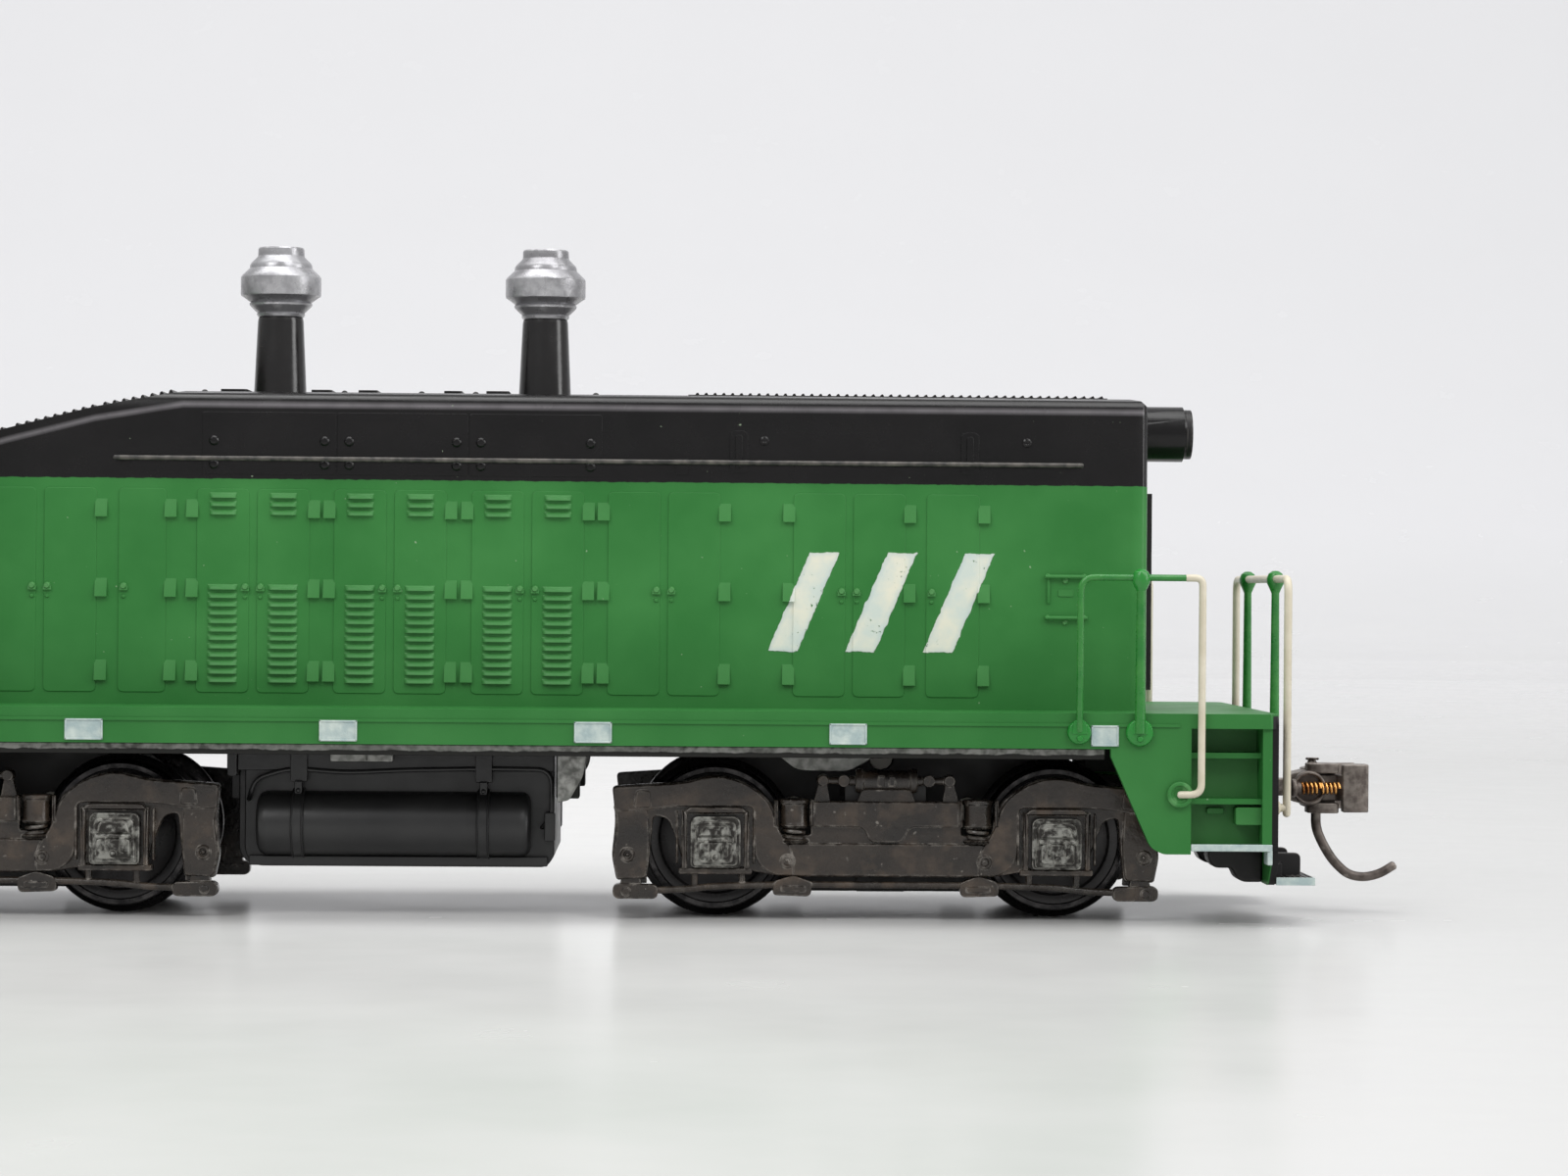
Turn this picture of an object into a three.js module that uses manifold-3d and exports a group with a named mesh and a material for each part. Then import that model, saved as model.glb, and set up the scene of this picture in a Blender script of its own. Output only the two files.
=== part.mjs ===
// HO scale (1:87.1) end-cab diesel switcher: a model locomotive with a moulded body on a die-cast frame,
// one motor with two flywheels, and two geared four-wheel trucks.
// Millimetres. +X points to the hood (front) end, +Z up. The origin lies midway between the trucks, at the
// bottom of the wheel flanges.
import * as THREE from "three";
import { mergeVertices } from "three/addons/utils/BufferGeometryUtils.js";
import Module from "manifold-3d";

const wasm = await Module();
wasm.setup();

// ---------------------------------------------------------------- driving dimensions
const TRUCK_X = 38.5; // truck centre from the middle of the model
const HALF_WHEELBASE = 14;
const FLANGE_R = 6.6;
const TREAD_R = 5.85;
const AXLE_Z = FLANGE_R;
const AXLE_R = 1.2;
const WHEEL_BACK = 7.275; // half the back-to-back distance of the wheels
const WHEEL_FACE = 10.07;

const MODULE = 0.5;
const WORM_GEAR_TEETH = 20;
const IDLER_TEETH = 14;
const AXLE_GEAR_TEETH = 14;
const WORM_GEAR_Z = 13.0;
const MOTOR_Z = 20.6; // motor shaft and worm axis

const HALF_WIDTH = 17.5; // over the walkway
const DECK_Z = 17.3;
const DECK_THICK = 1.2;
const SILL_BOTTOM = 14.4;
const PLATE_BOTTOM = 13.5; // underside of the die-cast plate
const DECK_END = 70.1; // front face of the pilot
const PILOT_THICK = 0.6;
const STEP_IN = 62.95; // inboard side of the step well
const STEP_PANEL_BOTTOM = 5.9;

const HOOD_HALF = 11.3;
const HOOD_FRONT = 60.1;
const HOOD_REAR = -39.5;
const ROOF_Z = 43.1;
const WALL = 1.0;
const CAB_FRONT = -39.7;
const CAB_REAR = -62.5;
const CAB_HALF = 17.2;
const EAVE_Z = 46.5;
const CAB_TOP_Z = 50.7;

const COUPLER_Z = 10.6;
const COUPLER_PIVOT_X = 63.0;
const COUPLER_FACE_X = 80.1;
const KNUCKLE_PIN = [75.75, -1.1];

const STACK_X = { front: 9.83, rear: -12.6 };
const STACK_TOP_Z = 49.85;
const STACK_BORE = 1.1;
const RAIL_TOP_Z = 28.3; // handrail height
const RAIL_R = 0.3; // handrail wire
const RAIL_BEND = 1.1; // corner radius of a bent handrail
const HEADLIGHT = { z: 40.6, r: 2.35, rim: 2.1, bore: 1.75 };
const REAR_LIGHT = { z: 47.0, r: 2.1, bore: 1.6 };
const GLUE_GAP = 0.05; // between the frame and what is fixed to it

const COLOURS = {
  green: [0x3a7a42, 0.45, 0.0],
  black: [0x262527, 0.55, 0.0],
  grey: [0x8c8c8a, 0.5, 0.8],
  silver: [0xbcbcc0, 0.4, 0.7],
  brown: [0x3e3631, 0.6, 0.1],
  cream: [0xe2dac6, 0.5, 0.0],
  brass: [0xb08d4a, 0.35, 0.9],
  steel: [0x77787a, 0.35, 0.9],
  nylon: [0xd8d6cc, 0.5, 0.0],
  glass: [0xdfe8ea, 0.1, 0.0],
  bronze: [0xa8662c, 0.35, 0.9],
};

// ---------------------------------------------------------------- solids from three.js geometry
function solid(geometry) {
  const g = geometry.index ? geometry.toNonIndexed() : geometry.clone();
  g.deleteAttribute("normal");
  g.deleteAttribute("uv");
  const merged = mergeVertices(g, 1e-4);
  const index = merged.index.array;
  const triangles = [];
  for (let i = 0; i < index.length; i += 3) {
    const [a, b, c] = [index[i], index[i + 1], index[i + 2]];
    if (a !== b && b !== c && a !== c) triangles.push(a, b, c);
  }
  const build = (order) =>
    new wasm.Manifold(
      new wasm.Mesh({
        numProp: 3,
        vertProperties: new Float32Array(merged.attributes.position.array),
        triVerts: new Uint32Array(order),
      }),
    );
  const made = build(triangles);
  if (made.volume() > 0) return made;
  const turned = [];
  for (let i = 0; i < triangles.length; i += 3) turned.push(triangles[i], triangles[i + 2], triangles[i + 1]);
  return build(turned);
}

const join = (...solids) => solids.flat().reduce((a, b) => a.add(b));
const cut = (body, ...tools) => tools.flat().reduce((a, b) => a.subtract(b), body);

function box([x0, x1], [y0, y1], [z0, z1]) {
  const g = new THREE.BoxGeometry(x1 - x0, y1 - y0, z1 - z0);
  return solid(g.translate((x0 + x1) / 2, (y0 + y1) / 2, (z0 + z1) / 2));
}

// A box and its mirror image across y = 0.
const pairOfBoxes = (xs, [y0, y1], zs) => [box(xs, [y0, y1], zs), box(xs, [-y1, -y0], zs)];

// A polygon whose points are [u, v] or [u, v, corner radius].
function outline(points) {
  const shape = new THREE.Shape();
  points.forEach(([u, v, r = 0], i) => {
    const [pu, pv] = points[(i + points.length - 1) % points.length];
    const [nu, nv] = points[(i + 1) % points.length];
    const back = r / Math.hypot(pu - u, pv - v);
    const on = r / Math.hypot(nu - u, nv - v);
    const from = [u + (pu - u) * back, v + (pv - v) * back];
    if (i === 0) shape.moveTo(...from);
    else shape.lineTo(...from);
    if (r > 0) shape.quadraticCurveTo(u, v, u + (nu - u) * on, v + (nv - v) * on);
  });
  return shape;
}

// An outline drawn on a plane and extruded between a and b along the plane's normal.
const PLANES = {
  xy: (a) => new THREE.Matrix4().set(1, 0, 0, 0, 0, 1, 0, 0, 0, 0, 1, a, 0, 0, 0, 1),
  yz: (a) => new THREE.Matrix4().set(0, 0, 1, a, 1, 0, 0, 0, 0, 1, 0, 0, 0, 0, 0, 1),
  xz: (a, b) => new THREE.Matrix4().set(1, 0, 0, 0, 0, 0, -1, b, 0, 1, 0, 0, 0, 0, 0, 1),
};
function prism(plane, points, [a, b], curveSegments = 3) {
  const shape = points instanceof THREE.Shape ? points : outline(points);
  const g = new THREE.ExtrudeGeometry(shape, { depth: b - a, bevelEnabled: false, curveSegments });
  return solid(g.applyMatrix4(PLANES[plane](a, b)));
}

// A cylinder or cone along an axis from a to b; the centre gives the other two coordinates in order.
function rod(axis, [a, b], [c, d], r, segments = 16, rEnd = r) {
  const g = new THREE.CylinderGeometry(rEnd, r, b - a, segments).translate(0, (a + b) / 2, 0);
  if (axis === "x") g.rotateZ(-Math.PI / 2).translate(0, c, d);
  if (axis === "y") g.translate(c, 0, d);
  if (axis === "z") g.rotateX(Math.PI / 2).translate(c, d, 0);
  return solid(g);
}

// A turned shape: [radius, height] points, starting and ending on the axis, along axis "y" or "z".
function turned(axis, profile, [c, d], segments = 24) {
  const g = new THREE.LatheGeometry(profile.map(([r, h]) => new THREE.Vector2(r, h)), segments);
  if (axis === "z") g.rotateX(Math.PI / 2).translate(c, d, 0);
  else g.translate(c, 0, d);
  return solid(g);
}

const ball = ([x, y, z], r, segments = 10) =>
  solid(new THREE.SphereGeometry(r, segments, Math.ceil(segments / 2)).translate(x, y, z));

// A wire: a path of straight runs with rounded corners, given its sections one by one.
class WirePath extends THREE.Curve {
  constructor(points, bend) {
    super();
    this.nodes = [points[0].clone()];
    for (let i = 1; i < points.length - 1; i++) {
      const [p, c, n] = [points[i - 1], points[i], points[i + 1]];
      const from = c.clone().add(p.clone().sub(c).setLength(bend));
      const to = c.clone().add(n.clone().sub(c).setLength(bend));
      const corner = new THREE.QuadraticBezierCurve3(from, c, to);
      this.nodes.push(...corner.getPoints(3));
    }
    this.nodes.push(points[points.length - 1].clone());
  }
  getSpacedPoints() {
    return this.nodes;
  }
  getTangentAt(u, target = new THREE.Vector3()) {
    const last = this.nodes.length - 1;
    const i = Math.round(u * last);
    const before = this.nodes[Math.max(i - 1, 0)];
    const after = this.nodes[Math.min(i + 1, last)];
    return target.copy(after).sub(before).normalize();
  }
}
function wire(points, r, bend = 1.2, sides = 6) {
  const path = new WirePath(points.map((p) => new THREE.Vector3(...p)), bend);
  const section = new THREE.Shape();
  for (let i = 0; i < sides; i++) {
    const a = (2 * Math.PI * i) / sides;
    section[i ? "lineTo" : "moveTo"](r * Math.cos(a), r * Math.sin(a));
  }
  const steps = path.nodes.length - 1;
  return solid(new THREE.ExtrudeGeometry(section, { steps, bevelEnabled: false, extrudePath: path }));
}

// ---------------------------------------------------------------- scene graph
const root = new THREE.Group();

function addMesh(parent, name, body, [colour, roughness, metalness]) {
  const made = body.getMesh();
  const g = new THREE.BufferGeometry();
  g.setAttribute("position", new THREE.BufferAttribute(new Float32Array(made.vertProperties), 3));
  g.setIndex(new THREE.BufferAttribute(new Uint32Array(made.triVerts), 1));
  g.computeVertexNormals();
  const mesh = new THREE.Mesh(g, new THREE.MeshStandardMaterial({ color: colour, roughness, metalness }));
  mesh.name = name;
  parent.add(mesh);
}

// ---------------------------------------------------------------- die-cast frame
const BED_TOP = 16.4;
const POCKET = { x: [60.2, 69.3], half: 5.0, inner: 3.9, floor: 9.35, roof: 12.0, wall: 0.9 };

function couplerPocket(end) {
  const along = ([a, b]) => (end > 0 ? [a, b] : [-b, -a]);
  const { x, half, inner, floor, roof, wall } = POCKET;
  return join(
    box(along([55.5, x[1]]), [-half, half], [roof, SILL_BOTTOM]),
    pairOfBoxes(along(x), [inner, half], [floor, roof + 0.1]),
    box(along([x[0], x[0] + wall]), [-half, half], [floor, roof + 0.1]),
    rod("z", [floor, roof + 0.1], [end * COUPLER_PIVOT_X, 0], 0.9, 12),
  );
}

function frameCasting() {
  const plate = box([-56, 56], [-16.9, 16.9], [PLATE_BOTTOM, SILL_BOTTOM]);
  const bed = box([-55.5, 55.5], [-9.9, 9.9], [SILL_BOTTOM - 0.1, BED_TOP]);
  const lugs = pairOfBoxes([11.4, 13.3], [8.9, 11.6], [9.8, PLATE_BOTTOM + 0.1]);
  const holes = [1, -1].map((s) => box([s * TRUCK_X - 11, s * TRUCK_X + 11], [-7.5, 7.5], [12, 18]));
  const cradle = rod("x", [-13.2, 13.2], [0, MOTOR_Z], 7.75, 24);
  const wheelWells = rod("x", [-21.8, 21.8], [0, MOTOR_Z], 6.8, 24);
  return cut(join(plate, bed, lugs, couplerPocket(1), couplerPocket(-1)), holes, cradle, wheelWells);
}

// ---------------------------------------------------------------- fuel tank with its air reservoir
const RESERVOIR = { x: [-13.2, 9.3], y: 9.6, z: 7.55, r: 2.66, strapX: [-9.8, 5.4], strapHalf: 0.6 };

function fuelTank() {
  const top = PLATE_BOTTOM - GLUE_GAP;
  const side = [
    [-15.7, top], [-15.7, 4.6, 0.5], [-15.1, 4.0, 0.3], [10.6, 4.0, 0.3], [11.2, 4.6, 0.5], [11.2, top],
  ];
  const body = prism("xz", side, [-10.4, 10.4]);
  const corners = [1, -1].map((s) =>
    prism("xy", [[-16.5, s * 5.85], [-13.8, s * 10.4], [-13.8, s * 11], [-16.5, s * 11]], [3, 14]),
  );
  const { y, z, r, x: ends, strapX, strapHalf } = RESERVOIR;
  const reservoirs = [1, -1].map((s) => rod("x", ends, [s * y, z], r, 20));
  const straps = strapX.flatMap((x) =>
    [1, -1].map((s) => rod("x", [x - strapHalf, x + strapHalf], [s * y, z], r + 0.19, 20)),
  );
  const hangers = strapX.flatMap((x) =>
    pairOfBoxes([x - strapHalf, x + strapHalf], [10.2, 11.2], [8.5, top]),
  );
  const motorRoom = rod("x", [-17, 12], [0, MOTOR_Z], 7.9, 24);
  return join(cut(body, corners, motorRoom), reservoirs, straps, hangers);
}

// ---------------------------------------------------------------- body moulding
const ROOF_SIDE = [[HOOD_REAR, 38.15], [-33.8, 39.85], [-26.6, 41.7], [-19.4, ROOF_Z]];

function hoodBlock(inset) {
  const front = HOOD_FRONT - inset;
  const half = HOOD_HALF - inset;
  const top = ROOF_Z - inset;
  const bottom = inset > 0 ? SILL_BOTTOM - 1 : DECK_Z - DECK_THICK;
  const rear = HOOD_REAR - inset;
  const roof = ROOF_SIDE.map(([x, z], i) => [i === 0 ? rear : x, z - inset]).reverse();
  const side = prism("xz", [[rear, bottom], [front, bottom], [front, top, 1.5], ...roof], [-half, half]);
  const across = [[-half, bottom], [half, bottom], [half, top, 1.8], [-half, top, 1.8]];
  const section = prism("yz", across, [rear, front]);
  const above = [[rear, -half], [front, -half, 1.5], [front, half, 1.5], [rear, half]];
  const plan = prism("xy", above, [bottom, top]);
  return side.intersect(section).intersect(plan);
}

const STEP_TREADS = [[6.2, 6.65, 17.4], [9.95, 10.4, 16.7], [13.65, 14.1, 16.0]]; // bottom, top, reach

function stepCorner(end, side) {
  const along = ([a, b]) => (end > 0 ? [a, b] : [-b, -a]);
  const across = ([a, b]) => (side > 0 ? [a, b] : [-b, -a]);
  const lip = DECK_Z - DECK_THICK + 0.1;
  const panel = [[56.4, lip], [56.4, 13.8], [59.7, 6.4, 0.5], [60.7, STEP_PANEL_BOTTOM, 0.3],
    [STEP_IN, STEP_PANEL_BOTTOM], [STEP_IN, lip]].map(([x, z, r]) => [end * x, z, r]);
  const treads = STEP_TREADS.map(([low, high, reach]) =>
    box(along([STEP_IN - 0.5, DECK_END - 0.1]), across([12.3, reach]), [low, high]),
  );
  return join(
    prism("xz", panel, across([16.6, HALF_WIDTH])),
    box(along([STEP_IN - 0.8, STEP_IN]), across([12.0, HALF_WIDTH - 0.1]), [STEP_PANEL_BOTTOM, lip]),
    box(along([STEP_IN - 0.5, DECK_END - 0.1]), across([12.0, 12.8]), [STEP_PANEL_BOTTOM, lip]),
    box(along([DECK_END - 1.3, DECK_END - 0.1]), across([12.0, 17.2]), [STEP_PANEL_BOTTOM + 0.2, lip]),
    rod("y", across([HALF_WIDTH - 0.1, HALF_WIDTH + 0.15]), [end * 62.0, 10.75], 0.95, 14),
    ...treads,
  );
}

function pilot(end) {
  const xs = end > 0 ? [DECK_END - PILOT_THICK, DECK_END] : [-DECK_END, -DECK_END + PILOT_THICK];
  const half = [[15.6, 3.3, 0.6], [17.2, 5.0], [17.2, 17.25, 0.9]];
  const plate = prism("yz", [...half, ...half.slice().reverse().map(([y, z, r]) => [-y, z, r])], xs);
  return cut(plate, box([end * 70 - 3, end * 70 + 3], [-4.7, 4.7], [8.3, 13.1]));
}

const GRAB_RAIL = { x: [-24.8, 54.4], y: 12.3, z: 37.5, r: 0.24, pegs: [-24, 8, 39, 53.6] };

function bodyShell() {
  const plan = [[-1, -1], [1, -1], [1, 1], [-1, 1]].flatMap(([ex, ey]) => {
    const corner = [[ex * DECK_END, ey * 17.2, 0.6], [ex * 69.4, ey * HALF_WIDTH]];
    return ex === ey ? corner : corner.reverse();
  });
  const deck = prism("xy", plan, [DECK_Z - DECK_THICK, DECK_Z]);
  const ridge = pairOfBoxes([-62, 62], [HALF_WIDTH - 0.1, HALF_WIDTH + 0.12], [16.2, 16.45]);
  const sills = pairOfBoxes([-56.5, 56.5], [16.4, HALF_WIDTH], [SILL_BOTTOM, DECK_Z - 0.2]);
  const corners = [1, -1].flatMap((end) => [1, -1].map((side) => stepCorner(end, side)));
  const light = join(
    rod("x", [58.6, 64.2], [0, HEADLIGHT.z], HEADLIGHT.r, 24),
    rod("x", [64.1, 64.9], [0, HEADLIGHT.z], HEADLIGHT.rim, 24),
  );
  const lampHole = rod("x", [62.4, 65.5], [0, HEADLIGHT.z], HEADLIGHT.bore, 24);
  const open = box([CAB_REAR + 1.2, HOOD_REAR + 1], [-10.3, 10.3], [SILL_BOTTOM - 1, DECK_Z + 1]);
  const solids = join(hoodBlock(0), deck, ridge, sills, corners, pilot(1), pilot(-1), light);
  const railPegs = [1, -1].flatMap((s) =>
    GRAB_RAIL.pegs.map((x) => {
      const reach = s > 0 ? [HOOD_HALF - 0.2, 12.0] : [-12.0, -HOOD_HALF + 0.2];
      return rod("y", reach, [x, GRAB_RAIL.z], 0.22, 6);
    }),
  );
  return cut(join(solids, railPegs), hoodBlock(WALL), open, lampHole);
}

// ---------------------------------------------------------------- cab
const CAB_WINDOWS = { z: [32.5, 43.6], side: [[-50.1, -42.1], [-59.8, -51.8]] };

function arch(half, eave, top) {
  const shape = new THREE.Shape();
  shape.moveTo(-half, DECK_Z);
  shape.lineTo(half, DECK_Z);
  shape.lineTo(half, eave);
  shape.quadraticCurveTo(half * 0.62, top, 0, top);
  shape.quadraticCurveTo(-half * 0.62, top, -half, eave);
  shape.closePath();
  return shape;
}

function cabShell() {
  const outer = prism("yz", arch(CAB_HALF, EAVE_Z, CAB_TOP_Z), [CAB_REAR, CAB_FRONT], 5);
  const room = { x: [CAB_REAR + WALL, CAB_FRONT - WALL], half: CAB_HALF - WALL };
  const inner = prism("yz", arch(room.half, EAVE_Z - 0.4, CAB_TOP_Z - 1.2), room.x, 5);
  const floor = box(room.x, [-room.half, room.half], [DECK_Z - 1, DECK_Z + 1]);
  const hoodEnd = box([CAB_FRONT - WALL - 1, CAB_FRONT + 1], [-10.3, 10.3], [DECK_Z - 1, 38.0]);
  const { z, side } = CAB_WINDOWS;
  const windows = [
    ...side.map(([x0, x1]) => {
      const corners = [[x0, z[0], 0.7], [x1, z[0], 0.7], [x1, z[1], 0.7], [x0, z[1], 0.7]];
      return prism("xz", corners, [-CAB_HALF - 2, CAB_HALF + 2], 1);
    }),
    ...[1, -1].flatMap((s) => [
      box([CAB_FRONT - 2, CAB_FRONT + 1], s > 0 ? [12.2, 15.8] : [-15.8, -12.2], [33.5, z[1]]),
      box([CAB_FRONT - 2, CAB_FRONT + 1], s > 0 ? [1.0, 9.6] : [-9.6, -1.0], [39.8, z[1]]),
      box([CAB_REAR - 1, CAB_REAR + 2], s > 0 ? [8.6, 15.6] : [-15.6, -8.6], [z[0], z[1]]),
    ]),
    box([CAB_REAR - 1, CAB_REAR + 2], [-6.4, 6.4], [z[0] + 2, z[1]]),
  ];
  const along = [CAB_REAR - 0.2, CAB_FRONT + 0.2];
  const drip = pairOfBoxes(along, [CAB_HALF - 0.2, CAB_HALF + 0.3], [EAVE_Z - 0.9, EAVE_Z - 0.3]);
  const light = rod("x", [-66.2, CAB_REAR + 0.5], [0, REAR_LIGHT.z], REAR_LIGHT.r, 24);
  const lampHole = rod("x", [-67, -64.4], [0, REAR_LIGHT.z], REAR_LIGHT.bore, 24);
  return cut(join(cut(outer, inner, floor, hoodEnd, windows), drip, light), lampHole);
}

// A moulded clear insert: a ring of four panes that lines the cab behind its windows.
function cabGlazing() {
  const inset = WALL + 0.12;
  const [x0, x1, half, thick] = [CAB_REAR + inset, CAB_FRONT - inset, CAB_HALF - inset, 0.6];
  return cut(
    box([x0, x1], [-half, half], [30.5, 45.4]),
    box([x0 + thick, x1 - thick], [-half + thick, half - thick], [29, 47]),
  );
}

// ---------------------------------------------------------------- fittings on the body
const GRILLE = { half: 7.4, z: [18.95, 35.35], slats: 11, pitch: 1.38, plate: 0.3, deep: 0.65 };

function frontGrille() {
  const { half, z: [low, high], slats, pitch, plate: sheet, deep } = GRILLE;
  const back = HOOD_FRONT + GLUE_GAP;
  const face = [[-half, low, 0.4], [half, low, 0.4], [half, high, 0.4], [-half, high, 0.4]];
  const plate = prism("yz", face, [back, back + sheet]);
  const blades = Array.from({ length: slats }, (_, i) => {
    const z = low + 0.95 + i * pitch;
    const blade = [[back + sheet - 0.05, z], [back + deep, z], [back + sheet - 0.05, z + 0.95]];
    return prism("xz", blade, [-half + 0.8, half - 0.8]);
  });
  const edges = pairOfBoxes([back + sheet - 0.05, back + deep], [half - 0.5, half], [low, high]);
  return join(plate, blades, edges);
}

function stack(x) {
  const outside = [[0, ROOF_Z], [2.35, ROOF_Z], [1.88, STACK_TOP_Z]];
  const bore = [[STACK_BORE, STACK_TOP_Z], [STACK_BORE, 46], [0, 46]];
  return turned("z", [...outside, ...bore], [x, 0], 20);
}

function arrestor(x) {
  const z = STACK_TOP_Z + 0.01;
  const outside = [[1.9, z], [2.6, 50.7], [2.68, 51.1], [3.4, 51.7], [3.4, 53.4], [2.7, 53.97], [2.63, 54.4],
    [1.95, 55.1], [1.95, 55.8]];
  return turned("z", [[1.15, z], ...outside, [1.45, 55.8], [1.15, 53.5], [1.15, z]], [x, 0], 20);
}

// The long thin rail along the black band of the hood, carried on pegs.
const grabRail = (side) => wire(GRAB_RAIL.x.map((x) => [x, side * GRAB_RAIL.y, GRAB_RAIL.z]), GRAB_RAIL.r);

// Beside the hood the rail runs over two stanchions before it drops to the step panel.
// Beside the cab it is one post.
function sideHandrail(end, side) {
  const y = side * 18.0;
  const at = (x, z) => [end * x, y, z];
  const face = side > 0 ? [HALF_WIDTH + 0.14, 18.4] : [-18.4, -HALF_WIDTH - 0.14];
  const drop = [at(63.7, 10.8), at(62.1, 10.8)];
  const top = at(63.7, RAIL_TOP_Z);
  if (end < 0) return join(wire([top, ...drop], RAIL_R, RAIL_BEND), ball(top, 0.6));
  return join(
    wire([at(53.8, 16.3), at(53.8, RAIL_TOP_Z), top, ...drop], RAIL_R, RAIL_BEND),
    rod("z", [16.3, RAIL_TOP_Z], [58.7, y], 0.42, 8),
    ball(at(58.7, RAIL_TOP_Z), 0.75),
    ...[53.8, 58.7].map((x) => rod("y", face, [x, 15.8], 1.0, 10)),
  );
}

function endRail(end) {
  const x = end * 71.1;
  const foot = (reach) => {
    const near = DECK_END + GLUE_GAP;
    return end > 0 ? [near, reach] : [-reach, -near];
  };
  const post = (y) => join(
    rod("z", [16.0, RAIL_TOP_Z], [x, y], 0.36, 8),
    ball([x, y, RAIL_TOP_Z], 0.72),
    box(foot(71.1), [y - 0.5, y + 0.5], [15.6, 16.6]),
  );
  const feet = [15, -15].map((y) => box(foot(71.2), [y - 0.45, y + 0.45], [9.0, 9.7]));
  const hoop = [[x, -15, 9.3], [x, -15, RAIL_TOP_Z], [x, 15, RAIL_TOP_Z], [x, 15, 9.3]];
  return join(wire(hoop, RAIL_R, RAIL_BEND), post(8), post(-8), feet);
}

function footboard(end) {
  const along = ([a, b]) => (end > 0 ? [a, b] : [-b, -a]);
  return join(
    box(along([70.15, 70.75]), [-15.4, 15.4], [3.5, 5.2]),
    pairOfBoxes(along([70.15, 73.3]), [5.6, 16.2], [3.3, 4.1]),
    ...[7.4, 14.2].flatMap((y) => pairOfBoxes(along([70.6, 72.2]), [y - 0.3, y + 0.3], [4.0, 6.3])),
  );
}

// ---------------------------------------------------------------- motor and drive line
const SHAFT_R = 1.0;

function motorCase() {
  const can = cut(rod("x", [-12, 12], [0, MOTOR_Z], 7.6, 24), rod("x", [-10.8, 10.8], [0, MOTOR_Z], 6.3, 24));
  const shaftHole = rod("x", [-13, 13], [0, MOTOR_Z], 1.1, 16);
  const vents = [-8.5, 4.5].map((x) => box([x, x + 4], [-9, 9], [MOTOR_Z - 2, MOTOR_Z + 2]));
  const bosses = [-1, 1].map((s) => rod("x", s > 0 ? [11.9, 13] : [-13, -11.9], [0, MOTOR_Z], 2.2, 16));
  return cut(join(can, bosses), shaftHole, vents);
}

function motorArmature() {
  const shaft = rod("x", [-19, 19], [0, MOTOR_Z], SHAFT_R, 16);
  const core = rod("x", [-6, 6], [0, MOTOR_Z], 5.7, 24);
  const commutator = rod("x", [6.5, 9.5], [0, MOTOR_Z], 2.4, 16);
  const slots = Array.from({ length: 5 }, (_, i) => {
    const a = (2 * Math.PI * i) / 5;
    const g = new THREE.BoxGeometry(14, 1.2, 2.4).translate(0, 0, 5.2);
    return solid(g.rotateX(a).translate(0, 0, MOTOR_Z));
  });
  return join(shaft, cut(core, slots), commutator);
}

function flywheel(end) {
  const along = ([a, b]) => (end > 0 ? [a, b] : [-b, -a]);
  const body = rod("x", along([14.2, 21.2]), [0, MOTOR_Z], 6.4, 28);
  const shaftBore = rod("x", along([14, 19.05]), [0, MOTOR_Z], SHAFT_R + 0.03, 16);
  const socket = rod("x", along([19, 22]), [0, MOTOR_Z], 1.7, 16);
  return cut(body, shaftBore, socket);
}

const CUP = { start: 5.75, end: 8.6, outer: 3.4, inner: 2.9 }; // measured from the truck centre
const SHAFT_END = TRUCK_X - 7.2;

function driveShaft(end) {
  const along = ([a, b]) => (end > 0 ? [a, b] : [-b, -a]);
  return join(
    rod("x", along([20.2, SHAFT_END]), [0, MOTOR_Z], 0.6, 10),
    ball([end * 20.4, 0, MOTOR_Z], 1.25),
    ball([end * SHAFT_END, 0, MOTOR_Z], 0.9),
  );
}

// ---------------------------------------------------------------- gears
const PITCH = Math.PI * MODULE;
const pitchRadius = (teeth) => (MODULE * teeth) / 2;
const TOOTH = { tip: 0.4, root: 0.57, halfAtTip: 0.14, halfAtRoot: 0.41 };

// A spur gear about the Y axis at the origin; phase is the angle of one tooth's centre, from +X towards +Z.
function gearBody(teeth, phase, halfWidth) {
  const r = pitchRadius(teeth);
  const tip = r + TOOTH.tip;
  const root = r - TOOTH.root;
  const shape = new THREE.Shape();
  for (let i = 0; i < teeth; i++) {
    const a = phase + (2 * Math.PI * i) / teeth;
    const { halfAtRoot, halfAtTip } = TOOTH;
    const corners = [[root, -halfAtRoot], [tip, -halfAtTip], [tip, halfAtTip], [root, halfAtRoot]];
    corners.forEach(([radius, half], k) => {
      const angle = a + half / radius;
      shape[i || k ? "lineTo" : "moveTo"](radius * Math.cos(angle), radius * Math.sin(angle));
    });
  }
  shape.closePath();
  return prism("xz", shape, [-halfWidth, halfWidth]);
}

// Where a third gear's centre lies that meshes with gears centred at a and b.
function meshCentre(a, ra, b, rb) {
  const [dx, dz] = [b[0] - a[0], b[1] - a[1]];
  const d = Math.hypot(dx, dz);
  const along = (ra * ra - rb * rb + d * d) / (2 * d);
  const off = Math.sqrt(ra * ra - along * along);
  return [a[0] + (along * dx + off * dz) / d, a[1] + (along * dz - off * dx) / d];
}

// The phase that puts a gear's gap opposite its neighbour's tooth along the line between their centres.
function meshPhase(from, fromTeeth, fromPhase, to, toTeeth) {
  const line = Math.atan2(to[1] - from[1], to[0] - from[0]);
  const offset = ((fromPhase - line) * fromTeeth) / (2 * Math.PI);
  return line + Math.PI + ((-offset - 0.5) * 2 * Math.PI) / toTeeth;
}

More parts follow.
